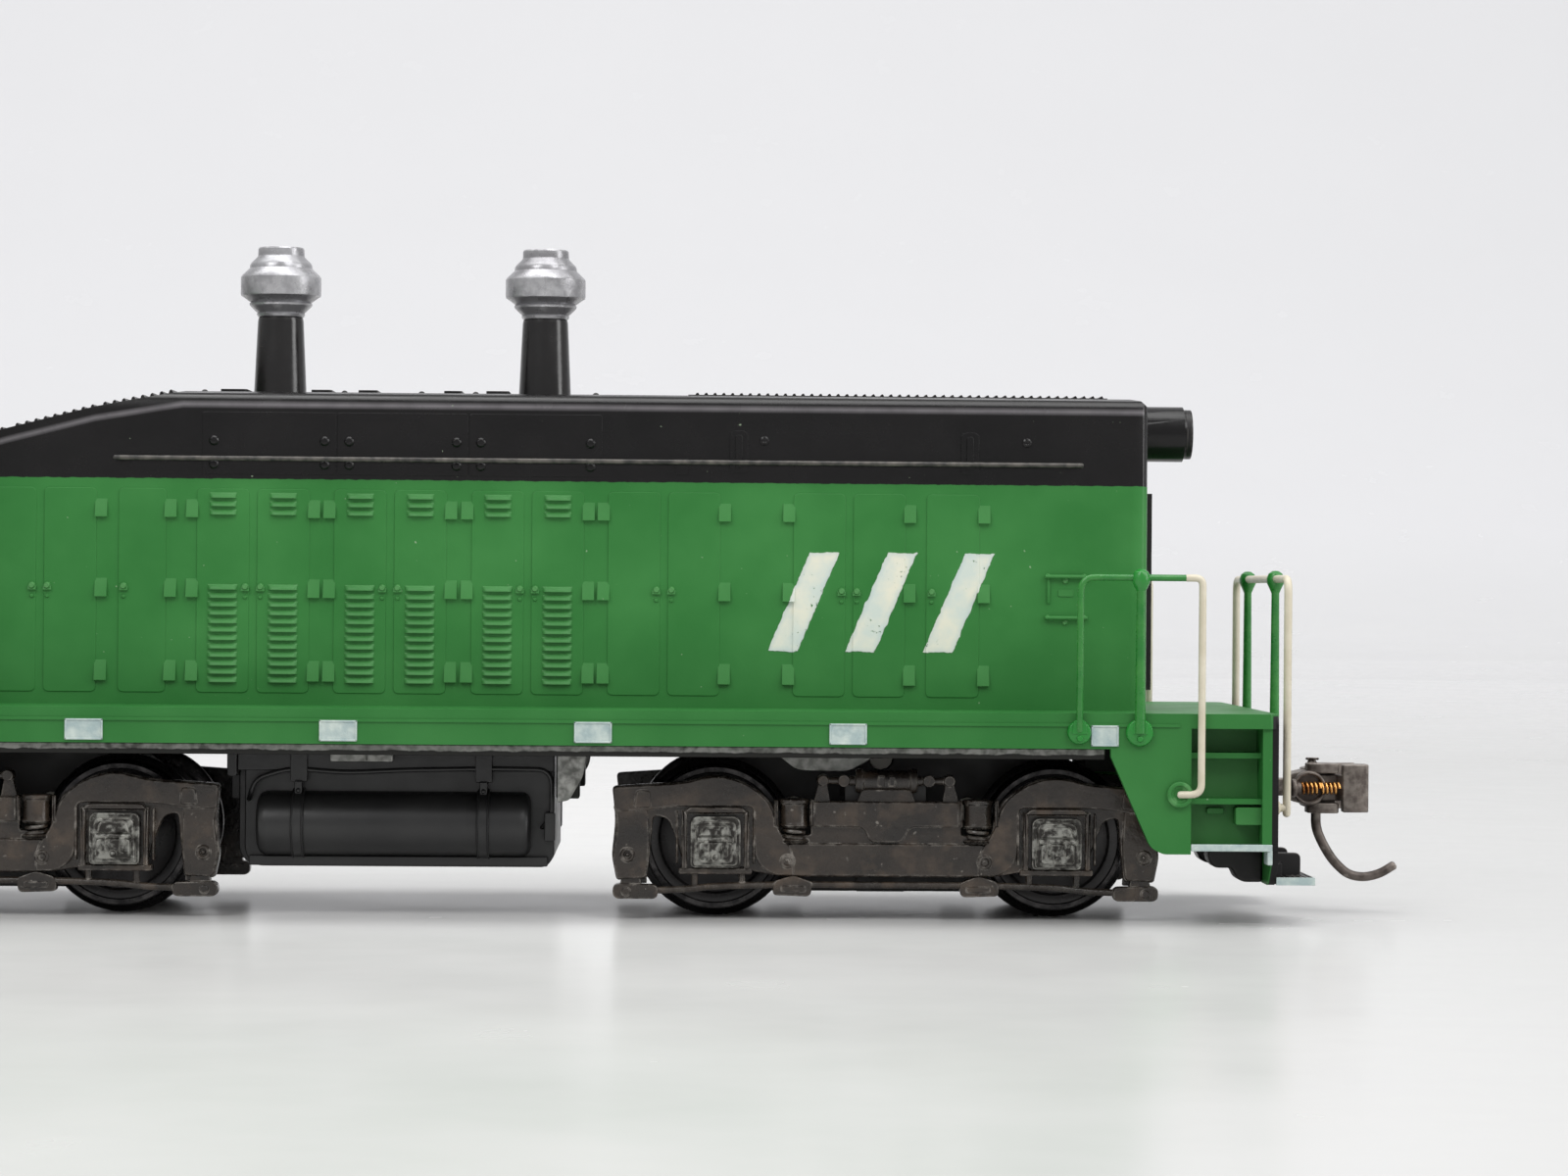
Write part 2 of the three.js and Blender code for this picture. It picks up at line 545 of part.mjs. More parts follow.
const WORM_GEAR_AT = [0, WORM_GEAR_Z];
const AXLES_AT = [[HALF_WHEELBASE, AXLE_Z], [-HALF_WHEELBASE, AXLE_Z]];
const IDLER_REACH = pitchRadius(WORM_GEAR_TEETH) + pitchRadius(IDLER_TEETH);
const AXLE_REACH = pitchRadius(AXLE_GEAR_TEETH) + pitchRadius(IDLER_TEETH);
const idlerOut = meshCentre(WORM_GEAR_AT, IDLER_REACH, AXLES_AT[0], AXLE_REACH);
const IDLERS_AT = [[Math.abs(idlerOut[0]), idlerOut[1]], [-Math.abs(idlerOut[0]), idlerOut[1]]];
const WORM_GEAR_PHASE = Math.PI / 2; // one tooth points straight up into the worm
const PIN = { r: 1.0, half: 3.4 };

const GEAR_HALF = 1.4; // half the face width
const pinned = (gear) => join(gear, rod("y", [-PIN.half, PIN.half], [0, 0], PIN.r, 12));
const placed = (body, [x, z]) => body.translate([x, 0, z]);

const WORM = { mean: 2.2, throw: 0.36, half: 3.14, around: 8, stepsPerTurn: 6 };

// A single-start worm: an eccentric round section twisted once per tooth pitch, with shafts and a drive cup.
function wormBody() {
  const section = new THREE.Shape();
  for (let i = 0; i < WORM.around; i++) {
    const a = (2 * Math.PI * i) / WORM.around;
    section[i ? "lineTo" : "moveTo"](WORM.mean * Math.cos(a), WORM.mean * Math.sin(a));
  }
  const steps = Math.round(((2 * WORM.half) / PITCH) * WORM.stepsPerTurn);
  const g = new THREE.ExtrudeGeometry(section, { depth: 2 * WORM.half, steps, bevelEnabled: false });
  const p = g.attributes.position;
  for (let i = 0; i < p.count; i++) {
    const along = p.getZ(i) - WORM.half;
    // The thread's valley faces straight down at the middle, where the worm gear's tooth stands.
    const a = Math.PI / 2 + (2 * Math.PI * along) / PITCH;
    p.setXY(i, p.getX(i) + WORM.throw * Math.cos(a), p.getY(i) + WORM.throw * Math.sin(a));
    p.setZ(i, along);
  }
  g.applyMatrix4(PLANES.yz(0));
  const cup = cut(
    rod("x", [-CUP.end, -CUP.start], [0, 0], CUP.outer, 20),
    rod("x", [-CUP.end - 0.4, -CUP.start - 0.6], [0, 0], CUP.inner, 20),
  );
  return join(solid(g), rod("x", [-CUP.start - 0.1, 5.6], [0, 0], SHAFT_R, 16), cup);
}

// ---------------------------------------------------------------- gearbox and bottom cover of a truck
const BOX = { half: 3.6, inner: 2.0, bottom: 2.4, end: 18.9, shoulder: 13.3, towerX: 5.5, towerTop: 24.2 };

function gearbox() {
  const { half, inner, bottom, end, shoulder, towerX, towerTop } = BOX;
  // The half outline of the box from its bottom end to the tower's top, drawn inwards by a wall.
  const halfRing = (wall, roof, low) => [
    [end - wall, low], [end - wall, 9.6 - roof], [13.8 - roof, shoulder - roof],
    [towerX + 1.4 - wall, shoulder - roof], [towerX + 1.4 - wall, 14.6],
    [towerX - wall, 17.0], [towerX - wall, towerTop - wall],
  ];
  const ring = (...args) => [...halfRing(...args), ...halfRing(...args).reverse().map(([x, z]) => [-x, z])];
  const outside = prism("xz", ring(0, 0, bottom), [-half, half]);
  const room = prism("xz", ring(1.0, 0.5, bottom - 1), [-inner, inner]);
  const padZ = [shoulder - 0.2, PLATE_BOTTOM - GLUE_GAP];
  const pads = [1, -1].map((s) => box(s > 0 ? [11.4, 13.4] : [-13.4, -11.4], [-half, half], padZ));
  const slots = AXLES_AT.flatMap(([x, z]) => [
    box([x - AXLE_R - 0.12, x + AXLE_R + 0.12], [-5, 5], [1, z]),
    rod("y", [-5, 5], [x, z], AXLE_R + 0.12, 12),
  ]);
  const pinHoles = [WORM_GEAR_AT, ...IDLERS_AT].map(([x, z]) => rod("y", [-5, 5], [x, z], 1.08, 12));
  const bearings = rod("x", [-8, 8], [0, MOTOR_Z], 1.1, 12);
  const wormRoom = rod("x", [-WORM.half - 0.5, WORM.half + 0.5], [0, MOTOR_Z], 2.8, 14);
  return cut(join(outside, pads), room, slots, pinHoles, bearings, wormRoom);
}

function bottomCover() {
  const { half, end, bottom } = BOX;
  const plate = box([-end, end], [-half, half], [1.75, bottom - 0.05]);
  const clips = pairOfBoxes([-2, 2], [half + 0.03, half + 0.5], [1.75, 5.0]);
  return join(plate, clips, pairOfBoxes([-2, 2], [half - 0.1, half + 0.5], [1.75, bottom - 0.05]));
}

// ---------------------------------------------------------------- sideframes
const FRAME_Y = [11.0, 13.3];
const JOURNAL = { half: 2.55, z: [3.6, 9.2], out: 14.3 };

function sideframe(side) {
  const across = ([a, b]) => (side > 0 ? [a, b] : [-b, -a]);
  // From the middle of the beam's underside, out round the end post and back over the arch to the beam's top.
  const half = [
    [0, 2.5], [8.6, 2.6], [11.2, 3.4], [16.9, 3.6], [17.1, 6.4], [17.9, 8.2, 0.6], [19.1, 8.4, 0.3],
    [19.3, 5.6], [19.6, 3.2], [22.1, 3.2, 0.3], [22.5, 5.2], [22.2, 8.2], [22.5, 10.9, 0.5],
    [19.4, 11.1], [16.6, 11.3, 1], [11.6, 11.3, 1.5], [9.2, 9.6, 0.5], [6.6, 9.9],
  ];
  const mirrored = half.slice(1).reverse().map(([x, z, r]) => [-x, z, r]);
  const plate = prism("xz", [...half, [0, 9.9], ...mirrored], across(FRAME_Y), 1);
  const journals = [1, -1].map((s) => {
    const [x, w] = [s * HALF_WHEELBASE, JOURNAL.half];
    return join(
      box([x - w, x + w], across([13.2, 13.9]), JOURNAL.z),
      box([x - w + 0.9, x + w - 0.9], across([13.8, JOURNAL.out]), [JOURNAL.z[0] + 0.5, JOURNAL.z[1] - 0.9]),
    );
  });
  const springSeats = [1, -1].map((s) => rod("z", [6.6, 9.9], [s * 7.4, side * 13.2], 1.1, 8));
  const beam = box([-6.0, 6.0], across([13.2, 13.65]), [2.7, 6.4]);
  const bracket = box([-3.4, 3.4], across([BOX.half + 0.55, 11.1]), [8.6, 11.2]);
  const rigging = join(
    ...[1, -1].map((s) => box(s > 0 ? [18.2, 22.5] : [-22.5, -18.2], across([11.7, 13.1]), [1.6, 3.25])),
    ...[1, -1].map((s) => box(s > 0 ? [4.7, 8.2] : [-8.2, -4.7], across([11.7, 13.1]), [1.9, 2.7])),
    rod("x", [-19, 19], [side * 12.4, 2.25], 0.36, 6),
  );
  const brake = join(
    rod("x", [-2.3, 2.9], [side * 12.4, 11.45], 0.9, 10),
    rod("x", [-6.4, 6.4], [side * 12.4, 11.45], 0.36, 6),
    box([-1.4, 2.2], across([11.9, 12.9]), [9.8, 11.0]),
  );
  return join(plate, ...journals, ...springSeats, beam, bracket, rigging, brake);
}

// ---------------------------------------------------------------- wheelset: two wheels pressed on an axle
function wheelset() {
  const sideProfile = [[0, WHEEL_FACE], [1.5, WHEEL_FACE], [1.8, 9.5], [4.2, 9.5], [4.7, WHEEL_FACE],
    [TREAD_R - 0.05, WHEEL_FACE], [TREAD_R + 0.05, 8.1], [FLANGE_R, 7.8], [FLANGE_R - 0.25, WHEEL_BACK],
    [AXLE_R, WHEEL_BACK]];
  const profile = [...sideProfile, ...sideProfile.slice().reverse().map(([r, y]) => [r, -y])];
  return turned("y", profile.reverse(), [0, 0], 20);
}

const axleGear = (phase) =>
  cut(gearBody(AXLE_GEAR_TEETH, phase, GEAR_HALF), rod("y", [-3, 3], [0, 0], AXLE_R + 0.03, 20));

// ---------------------------------------------------------------- trucks
function addTruck(name, end) {
  const truck = new THREE.Group();
  truck.position.x = end * TRUCK_X;
  if (end < 0) truck.rotation.z = Math.PI;
  root.add(truck);
  const part = (suffix, body, colour) => addMesh(truck, `${name}_${suffix}`, body, colour);

  part("gearbox", gearbox(), COLOURS.black);
  part("bottom_cover", bottomCover(), COLOURS.black);
  part(end > 0 ? "sideframe_left" : "sideframe_right", sideframe(1), COLOURS.brown);
  part(end > 0 ? "sideframe_right" : "sideframe_left", sideframe(-1), COLOURS.brown);
  part("worm", wormBody().translate([0, 0, MOTOR_Z]), COLOURS.steel);
  const wormGear = gearBody(WORM_GEAR_TEETH, WORM_GEAR_PHASE, GEAR_HALF);
  part("worm_gear", placed(pinned(wormGear), WORM_GEAR_AT), COLOURS.nylon);

  IDLERS_AT.forEach((at, i) => {
    const where = i === 0 ? "outer" : "inner";
    const phase = meshPhase(WORM_GEAR_AT, WORM_GEAR_TEETH, WORM_GEAR_PHASE, at, IDLER_TEETH);
    part(`idler_${where}`, placed(pinned(gearBody(IDLER_TEETH, phase, GEAR_HALF - 0.1)), at), COLOURS.nylon);
    const axlePhase = meshPhase(at, IDLER_TEETH, phase, AXLES_AT[i], AXLE_GEAR_TEETH);
    part(`axle_gear_${where}`, placed(axleGear(axlePhase), AXLES_AT[i]), COLOURS.nylon);
    part(`wheelset_${where}`, placed(wheelset(), AXLES_AT[i]), COLOURS.steel);
  });
}

// ---------------------------------------------------------------- couplers
function couplerHead() {
  const shank = join(
    box([COUPLER_PIVOT_X, 74.2], [-1.2, 1.2], [COUPLER_Z - 0.75, COUPLER_Z + 0.75]),
    rod("z", [COUPLER_Z - 0.75, COUPLER_Z + 0.75], [COUPLER_PIVOT_X, 0], 1.9, 16),
  );
  const side = [
    [73.4, 9.4, 0.5], [75.0, 8.9, 0.4], [76.2, 8.9], [76.2, 12.3], [75.0, 12.3, 0.4], [73.4, 11.7, 0.5],
  ];
  const throat = prism("xz", side, [-2.8, 1.9]);
  const head = box([76.1, 77.6], [-0.4, 2.6], [8.6, 12.6]);
  const arm = [[76.6, 1.2], [76.6, 2.6], [78.4, 3.2], [79.8, 3.4], [79.8, 2.7], [78.2, 2.0]];
  const guard = prism("xy", arm, [8.6, 12.6]);
  const ears = [[8.45, 9.35], [11.85, 12.7]].map((z) =>
    prism("xy", [[74.8, -0.4], [74.8, -1.9], [76.2, -2.5, 0.4], [77.6, -2.3, 0.5], [77.7, -0.4]], z),
  );
  const pin = rod("z", [12.0, 13.1], [75.6, 0.2], 0.45, 8);
  const hole = rod("z", [9, 12], [COUPLER_PIVOT_X, 0], 1.02, 16);
  const slot = box([74.3, 77.2], [-3, -0.3], [9.35, 11.85]);
  return cut(join(shank, throat, head, guard, ...ears, pin), hole, slot);
}

function knuckle() {
  const [px, py] = KNUCKLE_PIN;
  const tip = [[COUPLER_FACE_X, -2.2, 0.4], [COUPLER_FACE_X, 0.3, 0.3], [79.2, 0.4, 0.2], [78.7, -1.0, 0.3]];
  const half = 0.5;
  const arm = [
    [px - half, py - half, 0.4], [77.3, py - half], [77.9, -2.4, 0.2], [78.8, -2.6, 0.4], ...tip,
    [78.0, -0.7], [px - half, py + half, 0.4],
  ];
  const hook = prism("xy", arm, [9.45, 11.75]);
  const face = prism("xy", [[78.3, -2.45], ...tip, [78.3, -1.0]], [8.5, 12.6]);
  const pin = rod("z", [8.2, 9.6], [px, py], 0.42, 8);
  const hose = [
    [px, 8.9], [px, 7.2], [76.3, 5.9], [77.2, 4.4], [78.5, 3.2], [79.9, 2.95], [81.3, 3.3], [82.6, 4.1],
  ];
  const trip = wire(hose.map(([x, z]) => [x, py, z]), 0.42, 0.55);
  return join(hook, face, pin, trip);
}

function addCoupler(name, end) {
  const group = new THREE.Group();
  if (end < 0) group.rotation.z = Math.PI;
  root.add(group);
  const [px, py] = KNUCKLE_PIN;
  const pinHoles = rod("z", [8, 13], [px, py], 0.55, 12);
  addMesh(group, `coupler_${name}`, cut(couplerHead(), pinHoles), COLOURS.brown);
  addMesh(group, `knuckle_${name}`, knuckle(), COLOURS.brown);
  const spring = rod("x", [74.4, 76.0], [-2.3, COUPLER_Z], 0.45, 12);
  addMesh(group, `knuckle_spring_${name}`, spring, COLOURS.bronze);
  const { x, half, floor } = POCKET;
  addMesh(group, `coupler_lid_${name}`, box(x, [-half, half], [floor - 0.65, floor - 0.03]), COLOURS.black);
}

// ---------------------------------------------------------------- assembly
addMesh(root, "frame_casting", frameCasting(), COLOURS.grey);
addMesh(root, "fuel_tank", fuelTank(), COLOURS.black);
addMesh(root, "body_shell", bodyShell(), COLOURS.green);
addMesh(root, "cab_shell", cabShell(), COLOURS.green);
addMesh(root, "cab_glazing", cabGlazing(), COLOURS.glass);
addMesh(root, "front_grille", frontGrille(), COLOURS.black);
const lens = (xs, light) => rod("x", xs, [0, light.z], light.bore - 0.07, 24);
addMesh(root, "headlight_lens_front", lens([62.5, 64.5], HEADLIGHT), COLOURS.glass);
addMesh(root, "headlight_lens_rear", lens([-65.8, -64.5], REAR_LIGHT), COLOURS.glass);
addMesh(root, "motor_case", motorCase(), COLOURS.black);
addMesh(root, "motor_armature", motorArmature(), COLOURS.steel);

for (const [name, end] of [["front", 1], ["rear", -1]]) {
  addMesh(root, `stack_${name}`, stack(STACK_X[name]), COLOURS.black);
  addMesh(root, `spark_arrestor_${name}`, arrestor(STACK_X[name]), COLOURS.silver);
  for (const [sideName, side] of [["left", 1], ["right", -1]])
    addMesh(root, `handrail_${name}_${sideName}`, sideHandrail(end, side), COLOURS.cream);
  addMesh(root, `end_rail_${name}`, endRail(end), COLOURS.cream);
  addMesh(root, `footboard_${name}`, footboard(end), COLOURS.black);
  addMesh(root, `flywheel_${name}`, flywheel(end), COLOURS.brass);
  addMesh(root, `drive_shaft_${name}`, driveShaft(end), COLOURS.nylon);
  addTruck(`truck_${name}`, end);
  addCoupler(name, end);
}
for (const [sideName, side] of [["left", 1], ["right", -1]])
  addMesh(root, `grab_rail_${sideName}`, grabRail(side), COLOURS.black);

export default root;
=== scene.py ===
"""The looks of the HO end-cab diesel switcher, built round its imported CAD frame.

Lengths are in millimetres and become metres in Shape. +X is the hood end, -Y the side
the camera sees, +Z up. Every piece rides one of the frame's bodies.
"""

import math

import bmesh
import bpy
from mathutils import Matrix, Vector


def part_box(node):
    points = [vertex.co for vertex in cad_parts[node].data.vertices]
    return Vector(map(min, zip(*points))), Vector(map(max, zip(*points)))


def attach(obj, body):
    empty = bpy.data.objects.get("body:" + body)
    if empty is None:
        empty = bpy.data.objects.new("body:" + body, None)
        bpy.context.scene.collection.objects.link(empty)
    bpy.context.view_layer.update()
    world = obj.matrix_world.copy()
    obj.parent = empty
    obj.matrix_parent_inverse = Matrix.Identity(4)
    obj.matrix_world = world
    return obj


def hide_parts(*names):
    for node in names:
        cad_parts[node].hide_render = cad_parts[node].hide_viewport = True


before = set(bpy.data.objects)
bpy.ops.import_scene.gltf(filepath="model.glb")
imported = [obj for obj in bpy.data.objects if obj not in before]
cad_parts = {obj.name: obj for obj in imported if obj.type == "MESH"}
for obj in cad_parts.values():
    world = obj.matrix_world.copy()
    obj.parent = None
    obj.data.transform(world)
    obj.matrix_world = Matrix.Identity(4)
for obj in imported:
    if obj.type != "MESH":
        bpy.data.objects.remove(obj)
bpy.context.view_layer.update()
MM = 0.001
ENDS = (("front", 1), ("rear", -1))
SIDES = (("left", 1), ("right", -1))


def around(middle, half):
    return middle - half, middle + half


def place_object(name, data):
    """A new object in the scene, holding a mesh, a light or a camera."""
    obj = bpy.data.objects.new(name, data)
    bpy.context.scene.collection.objects.link(obj)
    return obj


def box_mm(node):
    """A CAD node's lowest and highest corners, in millimetres."""
    low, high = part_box(node)
    return low / MM, high / MM


# ---- solids
class Shape:
    """Closed solids gathered in one mesh."""

    def __init__(self):
        self.bm = bmesh.new()

    def vert(self, point):
        return self.bm.verts.new(Vector(point) * MM)

    def sweep(self, rings):
        """A skin over rings of points, each joined to the next, with flat ends."""
        n = len(rings[0])
        made = [self.vert(p) for ring in rings for p in ring]
        for a in range(0, len(made) - n, n):
            for j, k in zip(range(n), [*range(1, n), 0]):
                self.bm.faces.new([made[a + j], made[a + k], made[a + n + k], made[a + n + j]])
        self.bm.faces.new(made[:n][::-1])
        self.bm.faces.new(made[-n:])
        return made

    def box(self, x, y, z):
        (x0, x1), (y0, y1), (z0, z1) = sorted(x), sorted(y), sorted(z)
        ring = lambda h: [(x0, y0, h), (x1, y0, h), (x1, y1, h), (x0, y1, h)]
        return self.sweep([ring(z0), ring(z1)])

    def prism(self, plane, points, span, steps=4):
        """An outline of (u, v) or (u, v, corner radius) points, extruded across its plane."""
        a, b = sorted(span)
        place = {
            "xy": lambda u, v, w: (u, v, w),
            "xz": lambda u, v, w: (u, w, v),
            "yz": lambda u, v, w: (w, u, v),
        }[plane]
        flat = rounded(points, steps)
        return self.sweep([[place(u, v, w) for u, v in flat] for w in (a, b)])

    def panel(self, plane, u, v, span, r=0, steps=4):
        """A plate with four equally rounded corners."""
        (u0, u1), (v0, v1) = u, v
        return self.prism(plane, [(u0, v0, r), (u1, v0, r), (u1, v1, r), (u0, v1, r)], span, steps)

    def taper(self, plane, middle, halves, v, span, radii=(0, 0), steps=4):
        """A plate whose half width and corner radius change from its foot to its head."""
        (a, b), (v0, v1), (r0, r1) = halves, v, radii
        foot = [(middle - a, v0, r0), (middle + a, v0, r0)]
        head = [(middle + b, v1, r1), (middle - b, v1, r1)]
        return self.prism(plane, foot + head, span, steps)

    def rod(self, axis, span, at, r, r_end=None, sides=20):
        a, b = span
        profile = [(0, a), (r, a), (r if r_end is None else r_end, b), (0, b)]
        return self.turned(axis, profile, at, sides)

    def turned(self, axis, profile, at, sides=48):
        """A turned solid: (radius, height) points from axis to axis, or a closed ring profile."""
        c, d = at
        place = {
            "x": lambda u, v, w: (w, c + u, d + v),
            "y": lambda u, v, w: (c + u, w, d + v),
            "z": lambda u, v, w: (c + u, d + v, w),
        }[axis]
        angles = [2 * math.pi * i / sides for i in range(sides)]
        made = []
        for r, h in profile:
            if r < 1e-6:
                made.append([self.vert(place(0, 0, h))])
            else:
                made.append([self.vert(place(r * math.cos(t), r * math.sin(t), h)) for t in angles])
        ring_profile = profile[0][0] > 1e-6
        pairs = list(zip(made, made[1:])) + ([(made[-1], made[0])] if ring_profile else [])
        for low, high in pairs:
            for j in range(sides):
                k = (j + 1) % sides
                corners = [low[j % len(low)], low[k % len(low)],
                           high[k % len(high)], high[j % len(high)]]
                face = list(dict.fromkeys(corners))
                if len(face) > 2:
                    self.bm.faces.new(face)
        return [v for ring in made for v in ring]

    def ball(self, at, r, squash=1.0, sides=16):
        """A ball, lower than it is wide when squash is under 1."""
        half = sides // 2
        x, y, z = at
        profile = [(0, z - r * squash)]
        for i in range(1, half):
            t = math.pi * i / half
            profile.append((r * math.sin(t), -r * squash * math.cos(t) + z))
        return self.turned("z", [*profile, (0, r * squash + z)], (x, y), sides)

    def wire(self, points, r, bend=1.0, sides=12):
        """A round bar along points, bent at each, with rounded ends."""
        path = rounded_path([Vector(p) for p in points], bend)
        rings = tube_rings(path, lambda i: r, sides)
        for end, before in ((0, 1), (-1, -2)):
            centre = path[end]
            out = (centre - path[before]).normalized()
            caps = []
            for turn in (0.7, 1.26):
                lift, shrink = math.sin(turn), math.cos(turn)
                caps.append([centre + (p - centre) * shrink + out * r * lift * 0.8
                             for p in rings[end]])
            rings = rings + caps if end else caps[::-1] + rings
        return self.sweep(rings)

    def coil(self, centre, length, r, wire_r, turns, steps, sides):
        """A helical spring along X, centred on a point."""
        x, y, z = centre
        count = int(turns * steps)
        path = []
        for i in range(count + 1):
            t = 2 * math.pi * i / steps
            along = x - length / 2 + length * i / count
            path.append(Vector((along, y + r * math.cos(t), z + r * math.sin(t))))
        return self.sweep(tube_rings(path, lambda i: wire_r, sides))

    def move(self, made, matrix):
        for v in made:
            v.co = (matrix @ (v.co / MM)) * MM

    def mirror(self, axis):
        """Adds the mirror image of all there is across y = 0 ("y") or x = 0 ("x")."""
        scale = Vector((-1, 1, 1)) if axis == "x" else Vector((1, -1, 1))
        source = list(self.bm.faces)
        again = {v: self.bm.verts.new(v.co * scale) for v in list(self.bm.verts)}
        for f in source:
            self.bm.faces.new([again[v] for v in reversed(f.verts)])
        return self

    def scaled(self, sx, sy=1.0):
        """Turns what there is to the other side or the other end."""
        for v in self.bm.verts:
            v.co = Vector((v.co.x * sx, v.co.y * sy, v.co.z))
        return self

    def done(self, name, body, material, bevel=0.0, replaces=(), slot=None, smooth=32):
        """Makes the piece: a mesh object on a body, with beveled edges and one material."""
        bmesh.ops.recalc_face_normals(self.bm, faces=self.bm.faces)
        mesh = bpy.data.meshes.new(name)
        self.bm.to_mesh(mesh)
        self.bm.free()
        return dress(place_object(name, mesh), body, material, bevel, replaces, smooth)


def dress(obj, body, material, bevel, replaces, smooth):
    """Gives a mesh object its material, edges, body, and what it replaces in the CAD."""
    mesh = obj.data
    mesh.materials.clear()
    mesh.materials.append(material)
    mesh.polygons.foreach_set("use_smooth", [True] * len(mesh.polygons))
    mesh.set_sharp_from_angle(angle=math.radians(smooth))
    if bevel:
        m = obj.modifiers.new("edges", "BEVEL")
        m.width = bevel * MM
        m.segments = 2
        m.limit_method = "ANGLE"
        m.angle_limit = math.radians(smooth)
        m.use_clamp_overlap = False
        m.harden_normals = True
        m.miter_outer = "MITER_ARC"
    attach(obj, body)
    if replaces:
        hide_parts(*replaces)
    return obj


def rounded(points, steps=4):
    """Replaces each (u, v, radius) corner by an arc of short steps."""
    out = []
    n = len(points)
    for i, point in enumerate(points):
        u, v = point[:2]
        r = point[2] if len(point) > 2 else 0
        if r <= 0:
            out.append((u, v))
            continue
        here = Vector((u, v))
        back = Vector(points[i - 1][:2]) - here
        on = Vector(points[(i + 1) % n][:2]) - here
        reach = min(r, back.length * 0.48, on.length * 0.48)
        a, b = here + back.normalized() * reach, here + on.normalized() * reach
        for k in range(steps + 1):
            t = k / steps
            p = a * (1 - t) ** 2 + here * 2 * t * (1 - t) + b * t * t
            out.append((p.x, p.y))
    return out


def rounded_path(points, bend, steps=6):
    """A path through points, with each corner turned into an arc of short steps."""
    path = [points[0]]
    for a, c, b in zip(points, points[1:], points[2:]):
        reach = min(bend, (a - c).length * 0.48, (b - c).length * 0.48)
        start, end = c + (a - c).normalized() * reach, c + (b - c).normalized() * reach
        for k in range(steps + 1):
            t = k / steps
            path.append(start * (1 - t) ** 2 + c * 2 * t * (1 - t) + end * t * t)
    path.append(points[-1])
    return path


def tube_rings(path, radius, sides):
    """Rings round a path, carried along it without twisting."""
    angles = [2 * math.pi * k / sides for k in range(sides)]
    rings = []
    normal = None
    for i, p in enumerate(path):
        ahead, behind = path[min(i + 1, len(path) - 1)], path[max(i - 1, 0)]
        tangent = (ahead - behind).normalized()
        if normal is None:
            normal = tangent.orthogonal().normalized()
        normal = (normal - tangent * normal.dot(tangent)).normalized()
        side = tangent.cross(normal)
        rings.append([p + (normal * math.cos(t) + side * math.sin(t)) * radius(i) for t in angles])
    return rings


def moulded(node, name, body, material, width):
    """A copy of a CAD node with its long sharp edges rounded, standing for that node."""
    long_edge = 3.0 * width * MM
    sharp = math.radians(38)
    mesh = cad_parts[node].data.copy()
    mesh.name = name
    bm = bmesh.new()
    bm.from_mesh(mesh)
    bmesh.ops.remove_doubles(bm, verts=bm.verts, dist=2e-6)
    bmesh.ops.dissolve_limit(bm, angle_limit=math.radians(1), verts=bm.verts, edges=bm.edges)
    if width:
        chosen = [e for e in bm.edges if len(e.link_faces) == 2
                  and e.calc_length() > long_edge and e.calc_face_angle(0) > sharp]
        bmesh.ops.bevel(bm, geom=chosen, offset=width * MM, offset_type="OFFSET", segments=2,
                        profile=0.5, affect="EDGES", clamp_overlap=True)
    bm.to_mesh(mesh)
    bm.free()
    obj = place_object(name, mesh)
    flat = obj.modifiers.new("flat faces", "WEIGHTED_NORMAL")
    flat.keep_sharp = True
    flat.weight = 90
    return dress(obj, body, material, 0, (node,), 32)


